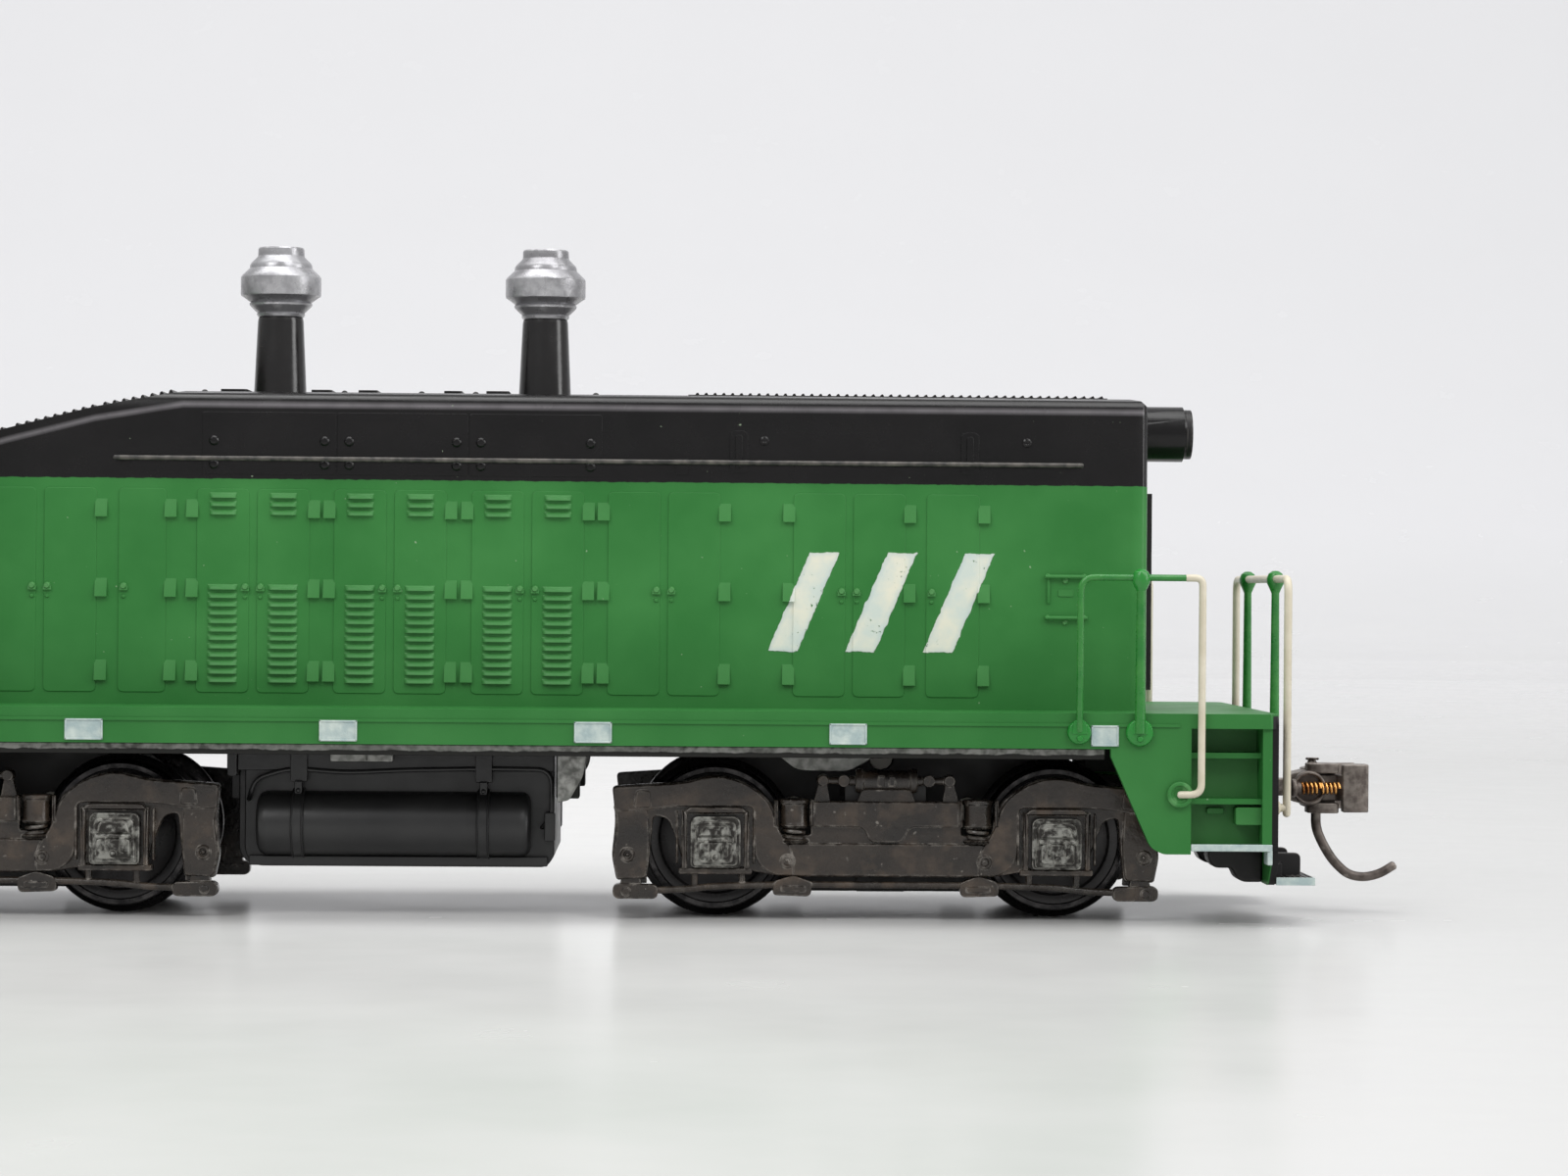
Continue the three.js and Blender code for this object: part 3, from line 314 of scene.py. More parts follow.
# ---- materials
class Nodes:
    """A material's node tree, with short ways to add what every finish here uses."""

    def __init__(self, name):
        self.material = bpy.data.materials.new(name)
        self.material.use_nodes = True
        self.tree = self.material.node_tree
        self.shader = self.tree.nodes["Principled BSDF"]
        self.place = self.tree.nodes.new("ShaderNodeTexCoord").outputs["Object"]
        split = self.tree.nodes.new("ShaderNodeSeparateXYZ")
        self.link(self.place, split.inputs[0])
        self.x, self.y, self.z = split.outputs

    def link(self, a, b):
        self.tree.links.new(a, b)

    def put(self, value, socket):
        """Sets a socket to a number or an sRGB colour, or links another node's output to it."""
        if isinstance(value, tuple):
            socket.default_value = (*linear(*value), 1.0)
        elif isinstance(value, (int, float)):
            socket.default_value = value
        else:
            self.link(value, socket)

    def noise(self, scale_mm, detail=4.0, rough=0.55):
        """Noise whose features are about scale_mm millimetres across, from 0 to 1."""
        node = self.tree.nodes.new("ShaderNodeTexNoise")
        node.inputs["Scale"].default_value = 1.0 / (scale_mm * MM)
        node.inputs["Detail"].default_value = detail
        node.inputs["Roughness"].default_value = rough
        self.link(self.place, node.inputs["Vector"])
        return node.outputs[0]

    def math(self, operation, a, b=0.0, clamp=False):
        node = self.tree.nodes.new("ShaderNodeMath")
        node.operation = operation
        node.use_clamp = clamp
        self.put(a, node.inputs[0])
        self.put(b, node.inputs[1])
        return node.outputs[0]

    def times(self, a, b, clamp=False):
        return self.math("MULTIPLY", a, b, clamp)

    def plus(self, a, b):
        return self.math("ADD", a, b)

    def minus(self, a, b):
        return self.math("SUBTRACT", a, b)

    def size(self, a):
        """The value without its sign."""
        return self.math("ABSOLUTE", a)

    def ramp(self, value, low, high, out_low=0.0, out_high=1.0):
        node = self.tree.nodes.new("ShaderNodeMapRange")
        node.inputs["From Min"].default_value = low
        node.inputs["From Max"].default_value = high
        node.inputs["To Min"].default_value = out_low
        node.inputs["To Max"].default_value = out_high
        self.link(value, node.inputs["Value"])
        return node.outputs[0]

    def cloud(self, scale_mm, detail, low, high, out_low=0.0, out_high=1.0):
        """Noise with its range from low to high spread over out_low to out_high."""
        return self.ramp(self.noise(scale_mm, detail), low, high, out_low, out_high)

    def mix(self, factor, a, b):
        """Colour a where factor is 0, colour b where it is 1."""
        node = self.tree.nodes.new("ShaderNodeMix")
        node.data_type = "RGBA"
        self.put(a, node.inputs["A"])
        self.put(b, node.inputs["B"])
        self.link(factor, node.inputs["Factor"])
        return node.outputs["Result"]

    def bump(self, height, distance_mm, after=None):
        node = self.tree.nodes.new("ShaderNodeBump")
        node.inputs["Distance"].default_value = distance_mm * MM
        node.inputs["Strength"].default_value = 1.0
        self.link(height, node.inputs["Height"])
        if after is not None:
            self.link(after, node.inputs["Normal"])
        return node.outputs[0]

    def edges(self, low, high):
        """1 on outer edges and corners, 0 elsewhere."""
        geometry = self.tree.nodes.new("ShaderNodeNewGeometry")
        return self.ramp(geometry.outputs["Pointiness"], low, high)

    def hollows(self, low=0.49, high=0.42):
        """1 in inner corners, 0 elsewhere."""
        geometry = self.tree.nodes.new("ShaderNodeNewGeometry")
        return self.ramp(geometry.outputs["Pointiness"], low, high)

    def rubbed(self, radius_mm=0.14):
        """1 along true edges of a shape, found by rounding its normal; it needs no fine mesh."""
        bevel = self.tree.nodes.new("ShaderNodeBevel")
        bevel.samples = 3
        bevel.inputs["Radius"].default_value = radius_mm * MM
        geometry = self.tree.nodes.new("ShaderNodeNewGeometry")
        dot = self.tree.nodes.new("ShaderNodeVectorMath")
        dot.operation = "DOT_PRODUCT"
        self.link(bevel.outputs[0], dot.inputs[0])
        self.link(geometry.outputs["Normal"], dot.inputs[1])
        return self.ramp(self.minus(1.0, dot.outputs["Value"]), 0.004, 0.05)

    def finish(self, colour, roughness, normal, metallic=0.0, specular=0.5):
        for name, value in (("Base Color", colour), ("Roughness", roughness), ("Normal", normal),
                            ("Metallic", metallic), ("Specular IOR Level", specular)):
            self.put(value, self.shader.inputs[name])
        return self.material


def linear(r, g, b):
    """An sRGB colour of 0 to 255 as linear light."""
    one = lambda v: v / 255 / 12.92 if v <= 10 else ((v / 255 + 0.055) / 1.055) ** 2.4
    return (one(r), one(g), one(b))


GREEN = (42, 112, 48)
GREEN_LIGHT = (56, 125, 60)
BLACK = (9, 8, 9)
CREAM = (198, 190, 168)


def simple(name, colour, light, roughness, metallic=0.0, grain_mm=0.5, bump_mm=0.012, blotch_mm=6.0,
           specular=0.5, wear=None, dirt=None):
    """Paint, plastic or metal with blotches, fine grain, worn edges and dirt in its corners."""
    n = Nodes(name)
    tone = n.mix(n.cloud(blotch_mm, 3.0, 0.35, 0.7), colour, light)
    if dirt:
        tone = n.mix(n.times(n.hollows(), n.cloud(1.6, 5.0, 0.3, 0.6, 0.25, 0.9)), tone, dirt)
    shine = n.cloud(grain_mm * 4, 4.0, 0.3, 0.7, roughness - 0.06, roughness + 0.08)
    if wear:
        mask = n.times(n.rubbed(), n.cloud(0.9, 6.0, 0.45, 0.62), clamp=True)
        tone = n.mix(mask, tone, wear)
        shine = n.minus(shine, n.times(mask, 0.15))
    grain = n.bump(n.noise(grain_mm, 5.0), bump_mm)
    return n.finish(tone, shine, grain, metallic, specular)


def bar_mask(n, centre, z_mid, half_high, half_wide, lean):
    """1 inside a leaning bar on the XZ plane, and 1 along its border, which wanders a little."""
    wander = n.cloud(0.8, 4.0, 0.2, 0.8, -0.13 * MM, 0.13 * MM)
    lift = n.minus(n.z, z_mid * MM)
    along = n.minus(n.minus(n.x, centre * MM), n.times(lift, lean))
    inside_x = n.minus(half_wide * MM, n.size(n.plus(along, wander)))
    inside_z = n.minus(half_high * MM, n.size(n.plus(lift, wander)))
    inside = n.math("MINIMUM", inside_x, inside_z)
    return n.ramp(inside, 0.0, 0.05 * MM), n.ramp(inside, 0.0, 0.5 * MM, 1.0, 0.0)


# The roof's side profile behind its flat part, as (x, z).
ROOF_EDGE = [(-39.5, 38.15), (-33.8, 39.85), (-26.6, 41.7), (-19.4, 42.9)]


def painted_edge_highlight(n):
    """1 along a thin painted highlight just below the roof's edge and beside the front corner."""
    edge = n.plus(ROOF_EDGE[-1][1] * MM, 0.0)
    for (x0, z0), (x1, z1) in zip(ROOF_EDGE, ROOF_EDGE[1:]):
        rise = (z1 - z0) / (x1 - x0)
        edge = n.math("MINIMUM", edge, n.plus(n.times(n.x, rise), (z0 - x0 * rise) * MM))
    below = n.size(n.minus(n.minus(edge, n.z), 0.95 * MM))
    behind = n.size(n.minus(n.x, 61.0 * MM))
    line = n.ramp(n.math("MINIMUM", below, behind), 0.0, 0.34 * MM, 1.0, 0.0)
    side = n.math("GREATER_THAN", n.size(n.y), 10.9 * MM)
    return n.times(n.times(line, side), n.cloud(2.0, 4.0, 0.3, 0.6, 0.75, 1.0))


BELT_Z = 35.85  # above it the hood is black
BARS = [31.6, 38.0, 44.4]  # the painted bars on the hood side, in place of a number


def body_paint(name, belt=BELT_Z, bars=True, pilot=True, relief_painted_light_and_wear=True, sheen=False):
    """Green paint, black above the belt line, darker towards the foot, with fine flecks; it can add
    painted shade in hollows, painted highlights on edges and a painted highlight along the roof's
    edge.
    """
    n = Nodes(name)
    green = n.mix(n.cloud(9.0, 3.0, 0.35, 0.7), GREEN, GREEN_LIGHT)
    # Darker towards the foot of the hood side.
    green = n.mix(n.ramp(n.z, 24 * MM, 16 * MM, 0.0, 0.30), green, (34, 92, 40))
    black = n.mix(n.cloud(7.0, 4.0, 0.3, 0.75), BLACK, (18, 16, 17))
    if relief_painted_light_and_wear:
        # Painted shade darkens the green in hollows and a painted highlight lightens it along outer
        # edges; the black is worn on its edges.
        green = n.mix(n.times(n.hollows(0.485, 0.40), 0.6), green, (20, 58, 26))
        green = n.mix(n.times(n.edges(0.53, 0.66), 0.42), green, (104, 158, 101))
        worn = n.times(n.edges(0.53, 0.64), n.cloud(0.8, 6.0, 0.4, 0.6, 0.1, 0.6))
        black = n.mix(worn, black, (104, 101, 99))
    if sheen:
        # A painted highlight along the roof's edge and the front corner, where the rounded edge
        # would catch the light.
        black = n.mix(painted_edge_highlight(n), black, (106, 103, 106))
    ragged = n.plus(n.z, n.cloud(0.7, 4.0, 0.2, 0.8, -0.06 * MM, 0.06 * MM))
    above = n.ramp(ragged, (belt - 0.03) * MM, (belt + 0.03) * MM)
    tone = n.mix(above, green, black)
    if pilot:
        outer = n.times(n.ramp(n.size(n.x), 69.56 * MM, 69.6 * MM),
                       n.ramp(n.z, 17.2 * MM, 17.1 * MM))
        tone = n.mix(outer, tone, black)
    grain = n.bump(n.noise(0.35, 5.0), 0.008)
    if bars:
        side = n.math("GREATER_THAN", n.size(n.y), 11.0 * MM)
        patch = None
        rim = None
        for x in BARS:
            inside, border = bar_mask(n, x, 26.1, 4.1, 1.25, 0.42)
            patch = inside if patch is None else n.math("MAXIMUM", patch, inside)
            border = n.times(inside, border)
            rim = border if rim is None else n.math("MAXIMUM", rim, border)
        patch = n.times(n.times(patch, side), n.ramp(n.z, 17.6 * MM, 17.7 * MM))
        holes = n.times(n.cloud(0.28, 3.0, 0.66, 0.70), n.cloud(2.6, 2.0, 0.52, 0.62))
        patch = n.times(patch, n.minus(1.0, holes), clamp=True)
        white = n.mix(n.cloud(2.4, 3.0, 0.35, 0.65), (226, 224, 206), (204, 214, 206))
        white = n.mix(n.times(rim, 0.55), white, (178, 196, 196))
        tone = n.mix(patch, tone, white)
        grain = n.bump(patch, 0.05, grain)
    flecks = n.cloud(0.5, 2.0, 0.77, 0.79)
    tone = n.mix(n.times(flecks, 0.5), tone, (170, 190, 160))
    gloss = n.cloud(3.0, 5.0, 0.3, 0.7, 0.40, 0.52)
    shine = n.plus(gloss, n.times(above, -0.21))
    return n.finish(tone, shine, grain, 0.0, n.ramp(above, 0.0, 1.0, 0.28, 0.34))


def worn_metal(name, colour, bright, dark, roughness=0.42, metallic=0.85, blotch_mm=2.2,
               black_below=None):
    """Cast or machined metal with stains and rubbed edges, blackened below a height in mm."""
    n = Nodes(name)
    tone = n.mix(n.ramp(n.noise(blotch_mm, 6.0, 0.62), 0.35, 0.68), dark, colour)
    mask = n.times(n.edges(0.51, 0.58), n.cloud(0.8, 6.0, 0.38, 0.6), clamp=True)
    tone = n.mix(mask, tone, bright)
    if black_below:
        ragged = n.plus(n.z, n.cloud(1.2, 4.0, 0.2, 0.8, -0.12 * MM, 0.12 * MM))
        tone = n.mix(n.ramp(ragged, (black_below - 0.04) * MM, (black_below + 0.04) * MM),
                     (34, 34, 32), tone)
    shine = n.cloud(1.2, 6.0, 0.3, 0.7, roughness - 0.1, roughness + 0.12)
    grain = n.bump(n.noise(0.4, 6.0), 0.02)
    return n.finish(tone, shine, grain, metallic, 0.5)


def truck_finish(name):
    """Weathered brown-black casting with drybrushed silvery edges and small shiny scuffs."""
    n = Nodes(name)
    tone = n.mix(n.ramp(n.noise(4.5, 5.0, 0.55), 0.3, 0.72), (29, 25, 22), (56, 48, 41))
    tone = n.mix(n.cloud(2.6, 4.0, 0.52, 0.7, 0.0, 0.6), tone, (88, 74, 61))
    scuff = n.times(n.rubbed(), n.cloud(0.8, 6.0, 0.45, 0.62), clamp=True)
    specks = n.cloud(0.5, 3.0, 0.70, 0.74, 0.0, 0.6)
    tone = n.mix(n.times(n.math("MAXIMUM", scuff, specks), 0.75), tone, (164, 158, 150))
    shine = n.cloud(0.9, 6.0, 0.3, 0.7, 0.18, 0.36)
    grain = n.bump(n.noise(0.8, 5.0, 0.6), 0.045)
    return n.finish(tone, shine, grain, 0.1, 0.6)


def silver_worn(name):
    """Rubbed silver on the journal lids: brown paint with patches of its faces brushed bright."""
    n = Nodes(name)
    rub = n.ramp(n.noise(0.9, 6.0, 0.65), 0.48, 0.60)
    tone = n.mix(rub, (36, 33, 29), (142, 142, 136))
    tone = n.mix(n.times(n.rubbed(0.12), n.cloud(0.7, 5.0, 0.4, 0.6)), tone, (180, 178, 170))
    shine = n.cloud(0.5, 5.0, 0.3, 0.7, 0.28, 0.45)
    return n.finish(tone, shine, n.bump(n.noise(0.4, 6.0), 0.06), 0.3, 0.5)


def clear_plastic(name):
    """The clear moulding of the windows and headlight lenses."""
    n = Nodes(name)
    tone = n.mix(n.cloud(8.0, 2.0, 0.3, 0.7), (236, 242, 244), (222, 232, 236))
    shine = n.cloud(2.0, 4.0, 0.3, 0.7, 0.03, 0.09)
    material = n.finish(tone, shine, n.bump(n.noise(4.0, 2.0), 0.01), 0.0, 0.5)
    n.shader.inputs["Transmission Weight"].default_value = 0.9
    n.shader.inputs["IOR"].default_value = 1.49
    return material


# The hood's paint, with a painted highlight along its roof edge.
BODY_PAINT = body_paint("hood paint", relief_painted_light_and_wear=False, sheen=True)
PANEL_PAINT = body_paint("hood panel paint", relief_painted_light_and_wear=False)
# The hood details' paint: painted shade in hollows and painted highlights along edges.
DETAIL_PAINT = body_paint("hood detail paint")
CAB_PAINT = body_paint("cab paint", belt=45.55, bars=False, pilot=False, relief_painted_light_and_wear=False)
PLAIN_BLACK = simple("black paint", (20, 19, 20), (34, 32, 33), 0.36, wear=(105, 102, 98),
                     specular=0.3)
STACK_BLACK = simple("stack black", (17, 15, 16), (28, 26, 26), 0.21, grain_mm=0.6, bump_mm=0.01)
TANK_BLACK = simple("tank plastic", (27, 27, 28), (38, 38, 38), 0.36)
RAIL_BLACK = simple("rail black", (36, 35, 33), (92, 88, 82), 0.4, grain_mm=0.25, bump_mm=0.03,
                    blotch_mm=0.8)
SILVER = worn_metal("silver paint", (168, 168, 171), (206, 206, 208), (146, 145, 148), 0.3, 0.6,
                    4.5)
FRAME_METAL = worn_metal("cast frame", (116, 118, 113), (150, 150, 146), (78, 78, 75), 0.4, 0.6,
                         5.0, 13.9)
BARE_METAL = worn_metal("bare metal", (128, 130, 126), (170, 170, 166), (92, 92, 88), 0.4, 0.6, 3.0)
TRUCK = truck_finish("truck casting")
JOURNAL = silver_worn("journal lid")
TRUCK_BLACK = simple("gearbox plastic", (30, 29, 29), (42, 40, 39), 0.5)
WHEEL_BLACK = simple("wheel black", (36, 35, 36), (56, 54, 54), 0.28, metallic=0.3, bump_mm=0.006,
                     wear=(66, 64, 64))
TREAD_METAL = worn_metal("wheel tread", (46, 45, 46), (72, 70, 70), (30, 29, 30), 0.26, 0.8, 3.0)
COUPLER_METAL = worn_metal("coupler metal", (104, 94, 88), (150, 142, 134), (62, 54, 50), 0.44,
                           0.45)
BRONZE = worn_metal("spring bronze", (186, 118, 52), (236, 178, 104), (120, 70, 34), 0.3, 0.9, 0.8)
BRASS = worn_metal("turned brass", (176, 141, 74), (220, 190, 120), (140, 108, 56), 0.28, 0.9, 4.0)
STEEL = worn_metal("motor steel", (122, 124, 126), (180, 182, 184), (84, 84, 86), 0.34, 0.9, 4.0)
NYLON = simple("gear nylon", (216, 213, 202), (228, 226, 216), 0.42)
GREEN_RAIL = simple("rail green", (30, 112, 42), (54, 128, 54), 0.26, grain_mm=0.3, bump_mm=0.03,
                    blotch_mm=1.6)
FOOT_GREEN = simple("handrail foot green", (22, 114, 38), (42, 132, 52), 0.2, grain_mm=0.4,
                    bump_mm=0.04, dirt=(30, 50, 26))
CREAM_RAIL = simple("rail cream", CREAM, (212, 205, 186), 0.4, grain_mm=0.3, bump_mm=0.02,
                    blotch_mm=2.0, dirt=(120, 104, 80))
WHITE_PATCH = simple("worn white paint", (156, 174, 174), (190, 202, 196), 0.5, grain_mm=0.3,
                     bump_mm=0.04, blotch_mm=1.0, dirt=(110, 130, 122))
CLEAR = clear_plastic("clear plastic")

# ---- body moulding
HOOD_FACE = 11.3  # hood side
HOOD_REAR = -38.0  # nothing is fitted behind it, where the cab begins
DECK_EDGE = 17.5
ROOF_Z = 43.1
DOOR_Z = (18.3, 35.05)
PAIR_CENTRES = [-31.0, -13.6, -2.38, 8.9, 20.1, 35.35]  # pairs of hood doors
LOUVRED = [-13.6, -2.38, 8.9]
SINGLE_DOORS = [(-24.6, -20.7), (41.7, 46.1)]  # hinged on their front edge
HINGE_Z = [(32.65, 34.15), (26.1, 27.65), (19.25, 20.95)]
LEAF = (0.32, 4.62)  # inner and outer edge of a leaf, from its pair's centre
HINGE_AT = 4.98
LATCH_AT = 0.62
LATCH_Z = 27.0

moulded("body_shell", "body_moulding", "chassis", BODY_PAINT, 0.13)


def on_hood(sunk, proud):
    """The depths of a piece let into the hood side and standing proud of it."""
    return HOOD_FACE - sunk, HOOD_FACE + proud


def leaf_plate(s, x0, x1):
    """A door leaf: a thin plate with eased corners, a touch proud of the hood side."""
    if x0 >= HOOD_REAR:
        s.panel("xz", (x0, x1), DOOR_Z, on_hood(0.2, 0.075), 0.5)


def wedge(s, x, y, z, top, bottom):
    """A small block on the hood side that stands out further at its foot than at its head."""
    z0, z1 = z
    s.prism("yz", [(y, z0), (y + bottom, z0), (y + bottom, z0 + 0.12), (y + top, z1), (y, z1)], x)


def hinge(s, x):
    """A door's three hinges, one over the other."""
    for z0, z1 in HINGE_Z:
        wedge(s, around(x, 0.5), HOOD_FACE - 0.05, (z0, z1), 0.07, 0.42)


def latch(s, x):
    """A door's round handle with its catch and its lock."""
    s.rod("y", on_hood(0, 0.42), (x, LATCH_Z), 0.3, 0.22, 12)
    wedge(s, around(x, 0.34), HOOD_FACE, (26.62, LATCH_Z), 0.15, 0.3)
    s.rod("y", on_hood(0, 0.22), (x, 26.15), 0.2, 0.14, 10)


def louvre_stack(s, x, top, count, width=2.42, pitch=0.69):
    """Pressed louvres: each lip rises smoothly from the door and ends in a sharp lower edge."""
    for i in range(count):
        z = top - i * pitch
        y = HOOD_FACE + 0.08
        rings = []
        for u, out in ((-0.5, 0.0), (-0.44, 0.2), (-0.36, 0.34), (0.36, 0.34), (0.44, 0.2),
                       (0.5, 0.0)):
            at, lip = x + u * width, max(out, 0.02)
            rings.append([(at, y, z - 0.44), (at, y + lip, z - 0.44), (at, y + lip, z - 0.36),
                          (at, y + lip * 0.45, z - 0.12), (at, y, z)])
        s.sweep(rings)


doors = Shape()
for centre in PAIR_CENTRES:
    for side in (1, -1):
        edges = sorted((centre + side * LEAF[0], centre + side * LEAF[1]))
        leaf_plate(doors, *edges)
for x0, x1 in SINGLE_DOORS:
    leaf_plate(doors, x0, x1)
doors.mirror("y").done("hood_doors", "chassis", PANEL_PAINT, 0.07, slot="green_plastic")

fittings = Shape()
for centre in PAIR_CENTRES:
    for side in (1, -1):
        if centre - HINGE_AT > HOOD_REAR or side > 0:
            hinge(fittings, centre + side * HINGE_AT)
        latch(fittings, centre + side * LATCH_AT)
for x0, x1 in SINGLE_DOORS:
    hinge(fittings, x1 + 0.35)
    latch(fittings, x0 + 0.45)
fittings.mirror("y").done("door_hinges_and_latches", "chassis", DETAIL_PAINT, 0.04,
                          slot="green_plastic")

louvres = Shape()
for centre in LOUVRED:
    for side in (1, -1):
        louvre_stack(louvres, centre + side * 2.46, 27.2, 12)
        louvre_stack(louvres, centre + side * 2.46, 34.72, 3, 2.2)
louvres.mirror("y").done("door_louvres", "chassis", DETAIL_PAINT, 0, slot="green_plastic",
                         smooth=50)

# The two-rung grab iron near the front corner of each hood side.
iron = Shape()
for z in (28.35, 24.95):
    iron.rod("x", (51.5, 55.0), (HOOD_FACE + 0.32, z), 0.17, sides=10)
    for x in (51.75, 54.75):
        iron.rod("y", on_hood(0.1, 0.36), (x, z), 0.26, 0.2, 12)
    iron.rod("y", on_hood(0.1, 0.2), (53.2, z - 0.35), 0.3, 0.2, 12)
iron.wire([(51.8, HOOD_FACE + 0.1, 28.3), (51.8, HOOD_FACE + 0.1, 26.2)], 0.14)
iron.panel("xz", (52.6, 53.9), (26.7, 27.3), on_hood(0.1, 0.08), 0.2)
iron.mirror("y").done("hood_grab_irons", "chassis", DETAIL_PAINT, 0.03, slot="green_plastic")

# ---- black band and roof
PANELS = [(-17.8, -6.85), (-6.75, 3.95), (4.05, 14.95)]
band = Shape()
for x0, x1 in PANELS:
    band.panel("xz", (x0, x1), (36.25, 41.35), on_hood(0.2, 0.09), 0.25)
    for x in (x0 + 0.95, x1 - 0.95):
        for z in (38.98, 37.05):
            band.turned("y", [(0, HOOD_FACE), (0.42, HOOD_FACE), (0.42, HOOD_FACE + 0.16),
                              (0.28, HOOD_FACE + 0.3), (0, HOOD_FACE + 0.34)], (x, z), 14)
for x in (26.2, 45.25):
    band.taper("xz", x, (0.75, 0.75), (36.7, 40.15), on_hood(0.2, 0.14), (0.3, 0.5))
    band.taper("xz", x, (0.28, 0.28), (37.1, 39.8), on_hood(0, 0.34), (0.2, 0.25))
band.panel("xz", (21.0, 22.05), (36.5, 37.8), on_hood(0.1, 0.16), 0.1)
for x in (28.3, 49.95):
    band.turned("y", [(0, HOOD_FACE), (0.4, HOOD_FACE), (0.4, HOOD_FACE + 0.1),
                      (0.22, HOOD_FACE + 0.2), (0, HOOD_FACE + 0.1)], (x, 39.35), 14)
band.mirror("y").done("hood_top_panels", "chassis", PANEL_PAINT, 0.04, slot="black_plastic")

roof = Shape()


def sawtooth(s, x, z, half, pitch, high, tilt=0.0):
    """A low ridge across the roof, with small notches along it, its steep face forwards."""
    count = 12
    wide = 2 * half / count
    low, wing, crest = z - 0.06, 0.42 * pitch, 0.1 * pitch
    section = [(x - wing, low), (x + wing, low), (x + crest, z + high),
               (x - crest, z + high * 0.85)]
    for i in range(count):
        y0 = -half + i * wide
        made = s.prism("xz", section, (y0 + 0.1, y0 + wide - 0.1))
        if tilt:
            pivot = Matrix.Translation((x, 0, z))
            s.move(made, pivot @ Matrix.Rotation(-tilt, 4, "Y") @ pivot.inverted())


for k in range(47):
    sawtooth(roof, 22.75 + k * 0.733, ROOF_Z, 7.6, 0.733, 0.36)
roof.box((22.0, 56.9), (-8.15, -7.75), (ROOF_Z - 0.1, ROOF_Z + 0.14))
roof.box((22.0, 56.9), (7.75, 8.15), (ROOF_Z - 0.1, ROOF_Z + 0.14))
SLOPE = [(-36.6, 39.02), (-33.8, 39.85), (-26.6, 41.7), (-20.2, 42.94)]
step = 0.775
for (x0, z0), (x1, z1) in zip(SLOPE, SLOPE[1:]):
    tilt = math.atan2(z1 - z0, x1 - x0)
    for k in range(int((x1 - x0) / step)):
        t = (k + 0.5) * step / (x1 - x0)
        sawtooth(roof, x0 + (x1 - x0) * t, z0 + (z1 - z0) * t, 8.2, step, 0.46, tilt)
for x0, x1, high in ((-16.8, -14.6, 0.3), (-9.3, -7.6, 0.3), (-5.4, -3.8, 0.3), (1.7, 3.2, 0.3),
                     (5.2, 7.1, 0.32)):
    roof.panel("xy", (x0, x1), (-7.5, 7.5), (ROOF_Z - 0.1, ROOF_Z + high), 0.3)
for x in (-18.2, -6.6, -0.2, 4.3, 14.3):
    for y in (-6.6, 0, 6.6):
        roof.ball((x, y, ROOF_Z + 0.05), 0.28, 0.9, 12)
roof.done("roof_shutters_and_hatches", "chassis", PLAIN_BLACK, 0.0, slot="black_plastic")

# ---- headlights, grille, stacks
moulded("front_grille", "front_shutter", "chassis", PLAIN_BLACK, 0.05)
for end, x, z, r, out in (("front", 64.9, 40.6, 2.1, 1), ("rear", -66.2, 47.0, 1.9, -1)):
    ring = Shape()
    inner = r - 0.36
    ring.turned("x", [(inner, x - out * 0.5), (r, x - out * 0.5), (r, x - out * 0.12), (r - 0.1, x),
                      (inner + 0.06, x), (inner, x - out * 0.08)], (0, z), 48)
    ring.done(f"headlight_rim_{end}", "chassis", PLAIN_BLACK, 0, slot="black_plastic")
    node = f"headlight_lens_{end}"
    low, high = box_mm(node)
    face = high.x if out > 0 else low.x
    back = low.x if out > 0 else high.x
    radius = (high.z - low.z) / 2 - 0.03
    lens = Shape()
    dome = [(0, face)]
    for a in (k * math.pi / 16 for k in range(1, 9)):
        dome.append((radius * math.sin(a), face - out * 0.5 * (1 - math.cos(a))))
    profile = [(0, back), (radius, back), *dome[::-1]]
    lens.turned("x", profile, ((low.y + high.y) / 2, (low.z + high.z) / 2), 40)
    lens.done(f"lamp_lens_{end}", "chassis", CLEAR, 0, (node,), "clear_plastic")

# The spark arrestor's profile, as (radius, height over its foot), up its outside and down inside.
ARRESTOR = [(1.2, 0), (1.86, 0), (1.96, 0.07), (2.04, 0.28), (1.98, 0.36), (2.14, 0.5), (2.5, 0.86),
            (2.62, 0.98), (2.66, 1.14), (2.56, 1.26), (2.7, 1.36), (3.1, 1.66), (3.34, 1.8),
            (3.39, 1.95), (3.39, 3.35), (3.3, 3.52), (2.78, 4.02), (2.66, 4.14), (2.62, 4.42),
            (2.52, 4.6), (2.06, 5.05), (1.96, 5.2), (1.94, 5.78), (1.86, 5.9), (1.58, 5.92),
            (1.5, 5.8), (1.42, 4.4), (1.2, 3.4)]
for end, _ in ENDS:
    low, high = box_mm(f"stack_{end}")
    x, y = (low.x + high.x) / 2, (low.y + high.y) / 2
    base, top = low.z, high.z
    r_low = (high.x - low.x) / 2
    s = Shape()
    foot = [(0, base), (r_low - 0.02, base), (r_low - 0.06, base + 0.18),
            (r_low - 0.14, base + 0.3)]
    mouth = [(1.93, top - 0.35), (1.88, top - 0.06), (1.8, top), (1.25, top), (1.15, top - 2.5),
             (0, top - 2.5)]
    s.turned("z", foot + mouth, (x, y), 56)
    s.done(f"exhaust_stack_{end}", "chassis", STACK_BLACK, 0, (f"stack_{end}",), "black_plastic",
           smooth=24)
    s = Shape()
    s.turned("z", [(r, top + 0.01 + h) for r, h in ARRESTOR], (x, y), 64)
    s.done(f"arrestor_{end}", "chassis", SILVER, 0, (f"spark_arrestor_{end}",), "silver_paint",
           smooth=22)

